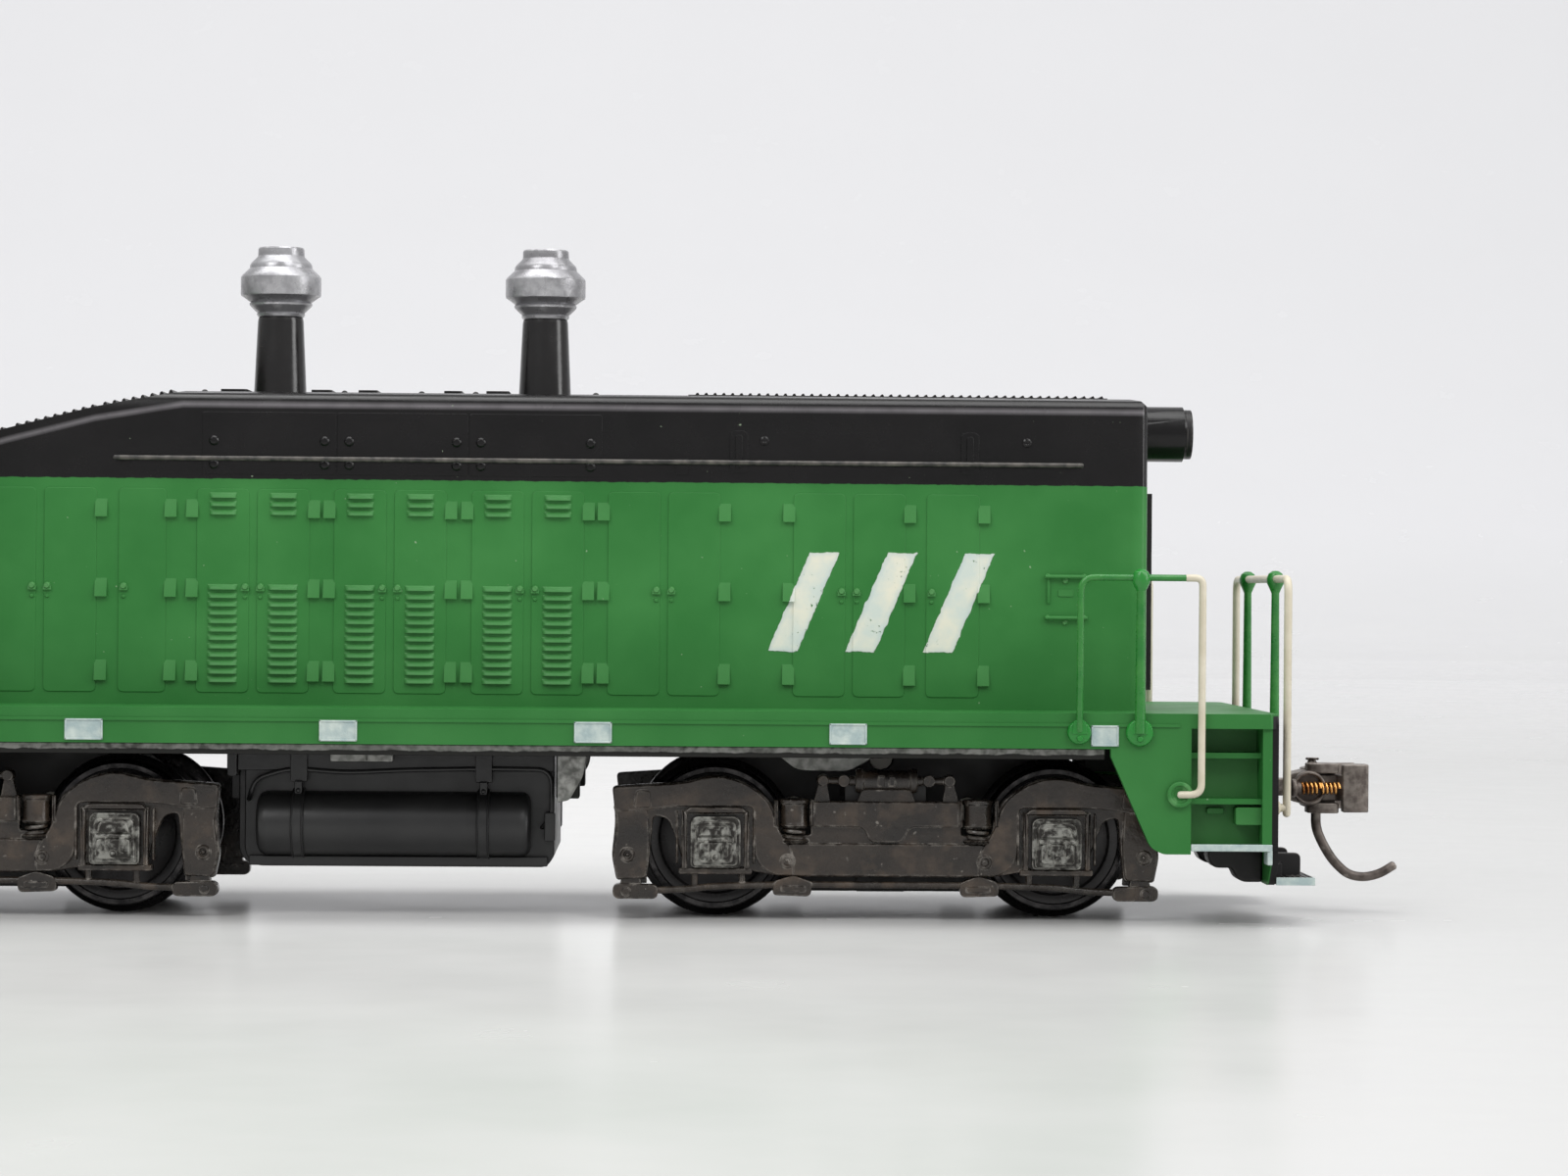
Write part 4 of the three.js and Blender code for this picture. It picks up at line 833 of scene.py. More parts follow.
# ---- handrails
RAIL_TOP = 28.3
POSTS_X = (53.8, 58.7)  # the two posts beside the front steps
STEP_RAIL_X = 63.7
END_RAIL_X = 71.1
GRAB_Y, GRAB_Z = 12.3, 37.5  # the long rail on the black band
RAIL_Y = 18.0
RAIL_R = 0.3


def side_rails():
    """The bent rails by the front steps, with their two posts' feet, and the cab's step rails."""
    for s_name, side in SIDES:
        y = side * RAIL_Y
        node = f"handrail_front_{s_name}"
        green = Shape()
        green.wire([(POSTS_X[0], y, 15.9), (POSTS_X[0], y, RAIL_TOP), (62.6, y, RAIL_TOP)], 0.27,
                   1.2)
        green.rod("z", (15.7, RAIL_TOP - 0.2), (POSTS_X[1], y), 0.44, 0.36, 16)
        green.done(f"side_rail_green_{s_name}", "chassis", GREEN_RAIL, 0, (node,), "green_wire")
        knob = Shape()
        knob.turned("z", [(0, 27.2), (0.34, 27.2), (0.5, 27.45), (0.72, 27.9), (0.74, 28.35),
                          (0.6, 28.75), (0.3, 28.98), (0, 29.02)], (POSTS_X[1], y), 20)
        for x in POSTS_X:
            r = 1.12 if x > 55 else 0.98
            knob.turned("y", [(0, 17.55), (r, 17.55), (r, 17.78), (r * 0.92, 17.98),
                              (r * 0.6, 18.06), (0, 18.1)],
                               (x, 15.75), 28)
            knob.taper("xz", x, (0.62, 0.5), (15.6, 16.75), (17.55, 18.12), (0, 0.3))
            knob.rod("y", (17.9, 18.32), (x, 15.25), 0.3, 0.22, 14)
        if side < 0:
            for v in knob.bm.verts:
                if v.co.y > 0:
                    v.co.y *= -1
        knob.done(f"stanchion_feet_{s_name}", "chassis", FOOT_GREEN, 0.05, slot="green_wire")
        cream = Shape()
        cream.wire([(62.4, y, RAIL_TOP), (STEP_RAIL_X, y, RAIL_TOP), (STEP_RAIL_X, y, 10.8),
                    (62.0, y * 0.985, 10.75)], RAIL_R, 1.15)
        cream.done(f"side_rail_cream_{s_name}", "chassis", CREAM_RAIL, 0, slot="cream_paint")
        rear = Shape()
        rear.wire([(-STEP_RAIL_X, y, RAIL_TOP - 0.3), (-STEP_RAIL_X, y, 10.8),
                   (-62.0, y * 0.985, 10.75)], RAIL_R, 1.15)
        rear.ball((-STEP_RAIL_X, y, RAIL_TOP), 0.58, 1.0, 20)
        rear.done(f"cab_step_rail_{s_name}", "chassis", CREAM_RAIL, 0, (f"handrail_rear_{s_name}",),
                  "cream_paint")


side_rails()
for end, out in ENDS:
    x = END_RAIL_X
    cream = Shape()
    cream.wire([(x, -15, 9.1), (x, -15, RAIL_TOP), (x, 15, RAIL_TOP), (x, 15, 9.1)], 0.33, 1.2)
    for y in (15, -15):
        cream.turned("x", [(0, 70.12), (0.62, 70.12), (0.62, 70.4), (0.34, 70.6), (0.3, x), (0, x)],
                     (y, 9.6), 16)
    cream.scaled(out).done(f"end_rail_hoop_{end}", "chassis", CREAM_RAIL, 0, (f"end_rail_{end}",),
                           "cream_paint")
    posts = Shape()
    for y in (8, -8):
        posts.turned("z", [(0, 16.0), (0.4, 16.0), (0.33, 27.1), (0.5, 27.5), (0.72, 27.95),
                           (0.74, 28.35), (0.58, 28.76), (0.28, 28.97), (0, 29.0)], (x, y), 18)
        posts.taper("yz", y, (0.55, 0.4), (15.4, 17.0), (70.1, 71.2), (0.3, 0.3))
    posts.scaled(out).done(f"end_stanchions_{end}", "chassis", GREEN_RAIL, 0.05, slot="green_wire")

for s_name, side in SIDES:
    s = Shape()
    y = side * GRAB_Y
    s.wire([(-24.8, y, GRAB_Z), (54.4, y, GRAB_Z)], 0.2, 0.1, 12)
    for x in (-24.0, 8.0, 39.0, 53.6):
        s.wire([(x, y, GRAB_Z), (x, y - side * 1.2, GRAB_Z)], 0.18, 0.1, 10)
    s.done(f"hood_grab_rail_{s_name}", "chassis", RAIL_BLACK, 0, (f"grab_rail_{s_name}",),
           "black_plastic")

# ---- sill, steps, footboards
SILL_PATCHES = [-47.0, -26.4, -6.0, 14.5, 35.1]  # centres of the painted pads along the sill
pads = Shape()
for x, half in [(x, 1.52) for x in SILL_PATCHES] + [(55.9, 1.12)]:
    z0, z1 = 14.62, 16.32
    pads.panel("xz", around(x, half), (z0, z1), (DECK_EDGE - 0.1, DECK_EDGE + 0.12), 0.18)
    for u, v in ((around(x, half), (z0, z0 + 0.16)), (around(x, half), (z1 - 0.16, z1)),
                 ((x - half, x - half + 0.16), (z0, z1)), ((x + half - 0.16, x + half), (z0, z1))):
        pads.box(u, (DECK_EDGE + 0.05, DECK_EDGE + 0.19), v)
pads.mirror("y").done("sill_pads", "chassis", WHITE_PATCH, 0.05, slot="cream_paint")

edging = Shape()
edging.box((62.97, 69.45), (17.0, 17.52), (6.16, 6.72))
edging.box((69.2, 69.62), (15.4, 17.42), (5.05, 6.72))
edging.mirror("y").mirror("x").done("step_edges", "chassis", WHITE_PATCH, 0.07, slot="cream_paint")

steps = Shape()
steps.panel("xz", (66.7, 69.5), (8.25, 9.7), (12.6, 16.6), 0.2)
steps.panel("xz", (64.5, 65.9), (9.1, 9.6), (14.6, 15.5), 0.2)
for reach, z in ((14.9, (6.55, 10.05)), (14.2, (10.3, 13.75)), (13.5, (14.0, 17.1))):
    steps.box((62.98, 69.4), (12.7, reach), z)
steps.turned("y", [(0.34, 17.4), (1.02, 17.4), (1.02, 17.62), (0.86, 17.78), (0.62, 17.8),
                   (0.34, 17.6)], (62.0, 10.75), 28)
steps.turned("y", [(0.95, 17.5), (1.06, 17.5), (1.06, 17.9), (0.95, 17.95), (0.72, 17.95),
                   (0.66, 17.7), (0.66, 17.5)],
             (62.0, 10.75), 28)
steps.mirror("y").mirror("x").done("step_blocks", "chassis", DETAIL_PAINT, 0.08,
                                   slot="green_plastic")

PILOT_X = 70.12  # the face the footboards hang on
for end, out in ENDS:
    s = Shape()
    for y0, y1 in ((5.6, 16.2), (-16.2, -5.6)):
        s.panel("xy", (70.15, 73.25), (y0, y1), (3.38, 3.98), 0.3)
        for k in range(6):
            x = 70.7 + k * 0.45
            s.box((x, x + 0.16), (y0 + 0.4, y1 - 0.4), (3.95, 4.06))
    s.box((PILOT_X, 70.7), (-15.4, 15.4), (3.5, 5.1))
    for y in (7.4, 14.2, -7.4, -14.2):
        s.prism("xz", [(PILOT_X, 3.8), (72.35, 3.8), (72.35, 5.9, 0.5), (PILOT_X, 5.9)],
                (y - 0.3, y + 0.3))
    s.scaled(out).done(f"footboards_{end}", "chassis", PLAIN_BLACK, 0.06, (f"footboard_{end}",),
                       "black_plastic")
    trim = Shape()
    for side in (1, -1):
        trim.box((PILOT_X, 73.3), (side * 16.16, side * 16.26), (3.36, 4.0))
        trim.box((73.18, 73.3), (side * 5.7, side * 16.2), (3.4, 3.96))
    trim.scaled(out).done(f"footboard_edges_{end}", "chassis", WHITE_PATCH, 0.03,
                          slot="cream_paint")
    # Rounded castings behind the pilot, under the steps.
    s = Shape()
    for y in (11.4, -11.4):
        s.prism("xz", [(65.0, 6.0), (65.0, 5.2, 0.5), (65.5, 4.5, 0.5), (67.0, 4.5, 0.5),
                       (67.3, 3.7, 0.6), (67.9, 3.35, 0.5), (69.5, 3.35, 0.3), (69.5, 6.0)],
                (y - 1.4, y + 1.4))
    s.scaled(out).done(f"pilot_castings_{end}", "chassis", PLAIN_BLACK, 0.25, slot="black_plastic")

# ---- cast frame and fuel tank
moulded("frame_casting", "frame_moulding", "chassis", FRAME_METAL, 0.12)
bits = Shape()
for side in (1, -1):
    bits.prism("xz", [(-7.1, 12.75, 0.15), (-2.0, 12.75, 0.15), (-2.0, 13.45), (-7.1, 13.45)],
               (side * 11.2, side * 11.9))
    bits.box((-4.2, -4.06), (side * 11.85, side * 11.95), (12.8, 13.4))
    bits.prism("xz", [(11.5, 13.5), (13.9, 13.5), (13.6, 11.6, 0.4), (12.5, 9.7, 0.3),
                      (11.5, 9.5, 0.2)],
               (side * 11.3, side * 12.3))
    bits.prism("xz", [(29.5, 13.5), (37.8, 13.5), (35.6, 12.1, 0.8), (31.2, 12.2, 0.6)],
               (side * 9.2, side * 10.6))
bits.done("frame_details", "chassis", BARE_METAL, 0.1, slot="cast_frame")

RESERVOIR_AT = (9.6, 7.55)
RESERVOIR_R = 2.66
STRAPS = [-9.8, 5.4]
# The air pipe over each reservoir, as (x, z).
PIPE = [(-13.9, 9.5), (-13.4, 11.2), (-10.6, 12.1), (-6.0, 11.75), (-1.0, 12.0), (6.0, 12.15),
        (11.0, 12.1), (11.0, 8.2), (10.2, 7.3)]
tank = Shape()
# Its rear end narrows in steps, to clear the truck when that swivels.
tank.prism("xz", [(-14.3, 5.0, 1.0), (-14.3, 13.45), (11.2, 13.45), (11.2, 4.9), (10.6, 4.0, 0.5),
                  (-13.4, 4.0, 0.6)],
           (-9.5, 9.5))
tank.prism("xz", [(-14.9, 5.02, 1.0), (-14.9, 13.43), (-13.0, 13.43), (-13.0, 4.02),
                  (-14.0, 4.02, 0.6)], (-8.4, 8.4))
tank.prism("xz", [(-15.7, 9.4, 0.2), (-15.7, 13.41), (-14.0, 13.41), (-14.0, 9.4)], (-7.1, 7.1))
for side in (1, -1):
    tank.prism("xz", [(-15.7, 11.4, 0.25), (-14.9, 11.4, 0.25), (-14.9, 13.45), (-15.7, 13.45)],
               (side * 7.0, side * 10.4))
    tank.panel("xz", (-14.9, 11.2), (11.9, 13.45), (side * 9.5, side * 10.1))
    tank.panel("xz", (10.4, 11.3), (6.2, 8.6), (side * 9.4, side * 10.5), 0.2)
    tank.wire([(x, side * 10.2, z) for x, z in PIPE], 0.2, 1.3, 10)
    tank.box((-13.9, 10.7), (side * 9.4, side * 10.2), (4.1, 4.9))
    y, z = side * RESERVOIR_AT[0], RESERVOIR_AT[1]
    tank.turned("x", [(0, -13.2), (1.9, -13.2), (2.4, -13.0), (2.6, -12.6), (RESERVOIR_R, -12.3),
                      (RESERVOIR_R, 8.4), (2.6, 8.8), (2.4, 9.1), (1.9, 9.3), (0, 9.3)], (y, z), 48)
    for x in STRAPS:
        tank.taper("xz", x, (0.7, 0.7), (11.0, 13.45), (side * 9.8, side * 10.55), (0.2, 0))
        tank.turned("x", [(RESERVOIR_R - 0.3, x - 0.5), (RESERVOIR_R + 0.16, x - 0.5),
                          (RESERVOIR_R + 0.16, x + 0.5), (RESERVOIR_R - 0.3, x + 0.5)], (y, z), 48)
        for edge in (-0.42, 0.42):
            tank.turned("x", [(RESERVOIR_R, x + edge - 0.1), (RESERVOIR_R + 0.26, x + edge - 0.1),
                              (RESERVOIR_R + 0.26, x + edge + 0.1), (RESERVOIR_R, x + edge + 0.1)],
                        (y, z), 48)
        tank.taper("xz", x, (0.32, 0.32), (9.9, 11.1), (side * 9.8, side * 10.9), (0.1, 0))
        tank.ball((x, side * 10.85, 10.3), 0.22, 1.0, 12)
tank.done("fuel_tank_and_reservoirs", "chassis", TANK_BLACK, 0.12, ("fuel_tank",), "black_plastic")

# ---- trucks
TRUCK_X = 38.5
AXLE_X = 14.0
AXLE_Z = 6.6
CUP_X = 7.55  # the spring cups
CAST_Y = 12.2  # where the raised parts of a side casting begin
# Half of the side casting's outline, from its middle to its end.
CASTING = [(0, 3.55), (8.6, 3.55, 1.0), (11.0, 4.0, 1.2), (12.0, 4.1), (16.6, 4.1, 0.3),
           (17.0, 6.0, 1.5), (17.9, 8.3, 0.8), (19.1, 8.5, 0.4), (19.35, 5.6, 0.8),
           (19.6, 3.3, 0.3), (22.1, 3.2, 0.3), (22.5, 5.2, 0.5), (22.2, 8.2, 1.0),
           (22.5, 10.9, 0.4), (19.6, 11.1, 0.8), (16.6, 11.3, 1.0), (13.9, 12.0, 2.0),
           (11.4, 11.3, 1.2), (9.4, 9.7, 0.8), (8.9, 8.4, 0.6), (8.6, 7.0, 0.3), (6.2, 7.0),
           (6.2, 9.8), (0, 9.8)]
# The proud band from the casting's end, over the journal and down to the beam in an S.
BAND = [(19.9, 8.9), (22.3, 8.9, 0.3), (22.4, 10.85, 0.3), (19.6, 11.0, 0.8), (16.6, 11.2, 1.0),
        (13.9, 11.9, 2.0), (11.4, 11.2, 1.6), (9.5, 9.6, 1.4), (8.9, 7.4, 1.2), (7.6, 5.6, 1.0),
        (7.6, 3.7), (9.4, 3.7, 0.8), (10.7, 4.8, 1.0), (10.9, 7.2, 1.0), (10.9, 9.3, 0.5),
        (16.9, 9.3, 0.6), (18.2, 9.2, 0.8)]


def both_halves(points):
    """A half outline and its mirror image as one closed outline."""
    return points + [(-u, *rest) for u, *rest in reversed(points) if u]


def flipper(sign):
    """What turns an outline made for the +X half into the same for the half asked for."""
    return lambda points: [(sign * u, *rest) for u, *rest in points]


def place_truck(s, out, side=1):
    """Carries what was made round a truck's own centre to one side of one end."""
    for v in s.bm.verts:
        v.co.x = out * (v.co.x + TRUCK_X * MM)
        v.co.y *= side
    return s


def side_casting(s):
    """A truck's side frame, between the wheels' outer faces and the journal boxes."""
    s.prism("xz", both_halves(CASTING), (11.2, 12.35), 5)
    s.prism("xz", [(-6.3, 7.7), (-1.9, 7.7, 0.6), (-1.3, 6.4, 0.5), (1.3, 6.4, 0.5),
                   (1.9, 7.7, 0.6), (6.3, 7.7), (6.3, 9.75, 0.2), (-6.3, 9.75, 0.2)],
            (CAST_Y, 12.85), 5)
    s.prism("xz", [(-8.4, 3.65, 0.3), (8.4, 3.65, 0.3), (8.9, 5.2, 0.6), (8.2, 6.3, 0.5),
                   (-8.2, 6.3, 0.5), (-8.9, 5.2, 0.6)],
            (CAST_Y, 12.8), 5)
    for sign in (1, -1):
        flip = flipper(sign)
        s.prism("xz", flip(BAND), (CAST_Y, 12.95), 6)
        # End post, with its flared top and foot.
        s.prism("xz", flip([(19.7, 3.4, 0.3), (22.0, 3.3, 0.4), (22.4, 5.2, 0.6), (22.0, 8.0, 1.2),
                            (22.4, 9.3), (19.6, 9.3), (19.4, 6.0, 1.0)]), (CAST_Y, 12.8), 6)
        s.prism("xz", flip([(19.3, 9.2, 0.3), (20.7, 9.2, 0.3), (20.5, 10.6, 0.3),
                            (19.4, 10.6, 0.3)]), (12.8, 13.15))
        for x, z in ((8.1, 4.85), (21.2, 5.3)):
            s.turned("y", [(0.26, 12.6), (0.62, 12.6), (0.62, 12.95), (0.5, 13.08), (0.36, 13.08),
                           (0.26, 12.95)],
                     (sign * x, z), 20)
            s.ball((sign * x, 12.8, z), 0.2, 1.0, 12)
        # Spring cup, its lip, and the two cheeks beside it.
        x = sign * CUP_X
        s.turned("z", [(0, 7.55), (1.12, 7.55), (1.2, 7.8), (1.12, 8.1), (1.12, 9.5), (1.28, 9.62),
                       (1.28, 9.92), (0.8, 9.98), (0, 9.98)], (x, 12.1), 32)
        for edge in (-1.5, 1.5):
            s.panel("xz", around(x + edge, 0.16), (7.7, 9.9), (12.0, 13.05), 0.08)
        s.turned("z", [(0, 6.35), (1.25, 6.35), (1.25, 6.62), (1.0, 6.7), (0, 6.7)], (x, 12.1), 28)
        # Pedestal jaws round the journal, open at the foot.
        a = sign * AXLE_X
        for edge in (-1, 1):
            s.prism("xz", [(a + edge * 2.35, 4.2, 0.15), (a + edge * 2.75, 4.2, 0.15),
                           (a + edge * 2.75, 9.1, 0.5), (a + edge * 2.35, 8.7, 0.15)],
                    (CAST_Y, 13.25))
            s.panel("xz", (a + edge * 3.05, a + edge * 3.25), (4.6, 8.9), (CAST_Y, 13.0), 0.1)
        s.taper("xz", a, (2.7, 2.2), (8.7, 9.25), (CAST_Y, 13.25), (0.3, 0.3))
        s.box((a - 3.0, a + 3.0), (11.3, 12.9), (3.75, 4.25))
    return s


def brake_rigging(s):
    """Rods and levers hung under the side casting, and the cylinder on top of it."""
    half_rod = [(8.2, 2.9), (14.0, 2.75), (16.6, 2.45), (21.4, 2.3)]
    rod = [(-x, z) for x, z in reversed(half_rod)] + half_rod
    s.wire([(x, 12.3, z) for x, z in rod], 0.3, 0.8, 10)
    for sign in (1, -1):
        flip = flipper(sign)
        s.prism("xz", flip([(18.7, 1.7, 0.5), (22.4, 1.7, 0.6), (22.4, 2.95, 0.6),
                            (18.7, 2.85, 0.5)]),
                (11.6, 12.9), 5)
        s.prism("xz", flip([(20.0, 2.6), (21.9, 2.6), (21.6, 3.6), (20.2, 3.6)]), (11.5, 12.5))
        s.prism("xz", flip([(6.2, 1.95, 0.4), (9.3, 2.05, 0.4), (9.2, 3.2, 0.4), (7.6, 3.7, 0.4),
                            (6.0, 3.1, 0.4)]), (11.7, 12.8), 5)
        s.prism("xz", flip([(6.6, 2.35, 0.15), (8.6, 2.4, 0.15), (8.6, 2.85, 0.15),
                            (6.6, 2.8, 0.15)]),
                (12.7, 12.98))
        s.rod("y", (12.4, 13.1), (sign * 21.3, 2.3), 0.42, 0.34, 16)
        for x in (11.8, 15.7):
            s.wire([(sign * x, 12.2, 4.2), (sign * x, 12.2, 2.8)], 0.3, 0.2, 8)
        # Hanger between the wheel and the casting's end.
        s.prism("xz", flip([(19.6, 2.9), (20.2, 2.9), (20.5, 4.4, 0.4), (19.7, 4.4, 0.4)]),
                (10.9, 11.6))
    top = 11.45
    s.turned("x", [(0, -2.55), (0.9, -2.55), (1.0, -2.35), (1.0, -1.95), (0.86, -1.85), (0.86, 1.9),
                   (1.02, 2.0), (1.02, 2.4), (0.92, 2.55), (0, 2.55)], (12.0, top), 32)
    for x in (-0.45, 0.45):
        s.panel("xz", around(x, 0.26), around(top, 0.42), (12.5, 13.0), 0.1)
    s.taper("xz", 0, (2.4, 2.0), (9.7, 10.8), (11.4, 12.4), (0, 0.3))
    for sign in (1, -1):
        profile = [(0, 2.5), (0.42, 2.5), (0.42, 3.0), (0.3, 3.1), (0.3, 5.2), (0, 5.2)]
        s.turned("x", [(r, sign * x) for r, x in profile], (12.0, top), 16)
        s.rod("y", (11.6, 12.6), (sign * 3.5, top), 0.5, 0.5, 16)
        s.rod("y", (11.6, 12.6), (sign * 5.2, top), 0.55, 0.45, 16)
        s.prism("xz", flipper(sign)([(4.6, 9.6), (6.0, 9.6), (5.8, 10.4, 0.3), (5.5, top, 0.2),
                                     (4.9, top, 0.2)]), (11.6, 12.3))
    return s


def truck_springs(s):
    """The two upright coils under the spring cups."""
    for x in (CUP_X, -CUP_X):
        made = s.coil((0, 0, 0), 1.25, 0.82, 0.17, 2.6, 16, 8)
        upright = Matrix.Rotation(math.pi / 2, 4, "Y")
        s.move(made, Matrix.Translation((x, 12.15, 7.15)) @ upright)
    return s


def journal_boxes(s):
    """The journals' boxes, each with its lid in steps, a hinge pin, a latch and two ribs."""
    for a in (AXLE_X, -AXLE_X):
        s.taper("xz", a, (2.05, 2.05), (4.3, 8.5), (CAST_Y, 13.25), (0.4, 0.7), 5)
        s.taper("xz", a, (1.75, 1.6), (4.5, 8.1), (13.1, 13.6), (0.3, 0.6), 5)
        s.panel("xz", around(a, 1.35), (4.8, 6.4), (13.5, 13.95), 0.3, 5)
        s.taper("xz", a, (1.3, 1.1), (6.9, 7.8), (13.5, 13.85), (0.1, 0.4), 5)
        s.rod("x", (a - 1.5, a + 1.5), (13.75, 6.62), 0.24, 0.24, 12)
        s.ball((a, 13.95, 5.2), 0.3, 1.0, 14)
        for x in (-0.75, 0.75):
            s.panel("xz", around(a + x, 0.22), (5.3, 6.6), (13.8, 14.2), 0.1)
    return s


# Profiles of the wheel with half its axle, and of its tyre, as (radius, distance from the middle).
WHEEL = [(0, 10.6), (0.7, 10.6), (0.9, 10.35), (1.15, 10.3), (1.5, 9.75), (1.9, 9.5), (3.9, 9.3),
         (4.5, 9.45), (4.7, 9.75), (5.3, 9.9), (5.45, 9.9), (5.45, 7.4), (4.9, 7.3), (4.6, 7.7),
         (1.9, 7.9), (1.6, 7.3), (1.2, 7.3), (1.2, 0.0), (0, 0.0)]
TYRE = [(5.3, 9.86), (5.42, 10.07), (5.78, 10.07), (5.88, 9.95), (5.9, 8.3), (6.05, 8.0),
        (6.4, 7.85), (6.58, 7.65), (6.52, 7.4), (6.3, 7.28), (5.3, 7.28)]


def truck_end(end, out):
    """One truck: its side frames, crossbars, gears and wheels, made for +X and turned round."""
    body = f"truck_{end}"
    for side in (1, -1):
        name = "left" if side * out > 0 else "right"
        node = f"truck_{end}_sideframe_{name}"
        for what, make, paint, bevel, nodes in (
            ("side_casting", side_casting, TRUCK, 0.14, (node,)),
            ("brake_rigging", brake_rigging, TRUCK, 0.08, ()),
            ("journal_boxes", journal_boxes, JOURNAL, 0.1, ()),
            ("truck_springs", truck_springs, TRUCK, 0, ()),
        ):
            piece = place_truck(make(Shape()), out, side)
            piece.done(f"{what}_{end}_{name}", body, paint, bevel, nodes, "truck_brown")
    arms = Shape()
    for sign in (1, -1):
        arms.taper("xz", 0, (3.4, 3.4), (8.6, 11.2), (sign * 3.5, sign * 11.3), (0.2, 0.4))
    place_truck(arms, out).done(f"truck_crossbars_{end}", body, TRUCK_BLACK, 0.15,
                                slot="black_plastic")
    moulded(f"{body}_gearbox", f"gear_housing_{end}", body, TRUCK_BLACK, 0.12)
    moulded(f"{body}_bottom_cover", f"gear_cover_{end}", body, TRUCK_BLACK, 0.1)
    moulded(f"{body}_worm", f"worm_{end}", f"{body}_worm", BRASS, 0)
    moulded(f"{body}_worm_gear", f"worm_wheel_{end}", f"{body}_worm_gear", NYLON, 0)
    for which, sign in (("outer", 1), ("inner", -1)):
        idler, axle = f"{body}_idler_{which}", f"{body}_axle_{which}"
        moulded(idler, f"idler_gear_{end}_{which}", idler, NYLON, 0)
        moulded(f"{body}_axle_gear_{which}", f"axle_drive_gear_{end}_{which}", axle, NYLON, 0)
        wheels, tyres = Shape(), Shape()
        at = (sign * AXLE_X, AXLE_Z)
        for side in (1, -1):
            wheels.turned("y", [(r, side * h) for r, h in WHEEL], at, 64)
            tyres.turned("y", [(r, side * h) for r, h in TYRE], at, 72)
            for k in range(5):
                a = 2 * math.pi * k / 5
                boss = (at[0] + 2.9 * math.cos(a), at[1] + 2.9 * math.sin(a))
                wheels.rod("y", (side * 9.2, side * 9.62), boss, 0.42, 0.34, 14)
        node = f"truck_{end}_wheelset_{which}"
        place_truck(wheels, out).done(f"wheels_{end}_{which}", axle, WHEEL_BLACK, 0, (node,),
                                      "wheel_metal", 40)
        place_truck(tyres, out).done(f"tyres_{end}_{which}", axle, TREAD_METAL, 0,
                                     slot="wheel_metal", smooth=40)


for end, out in ENDS:
    truck_end(end, out)

# ---- drive line
moulded("motor_case", "motor_housing", "chassis", STEEL, 0.15)
moulded("motor_armature", "armature", "drive_line", STEEL, 0)
for end, _ in ENDS:
    moulded(f"flywheel_{end}", f"flywheel_turned_{end}", "drive_line", BRASS, 0.15)
    moulded(f"drive_shaft_{end}", f"shaft_{end}", "drive_line", TRUCK_BLACK, 0.06)

# ---- couplers
COUPLER_Z = 10.6
KNUCKLE_PIN = (75.75, -1.1)
SPRING_Y = -2.3


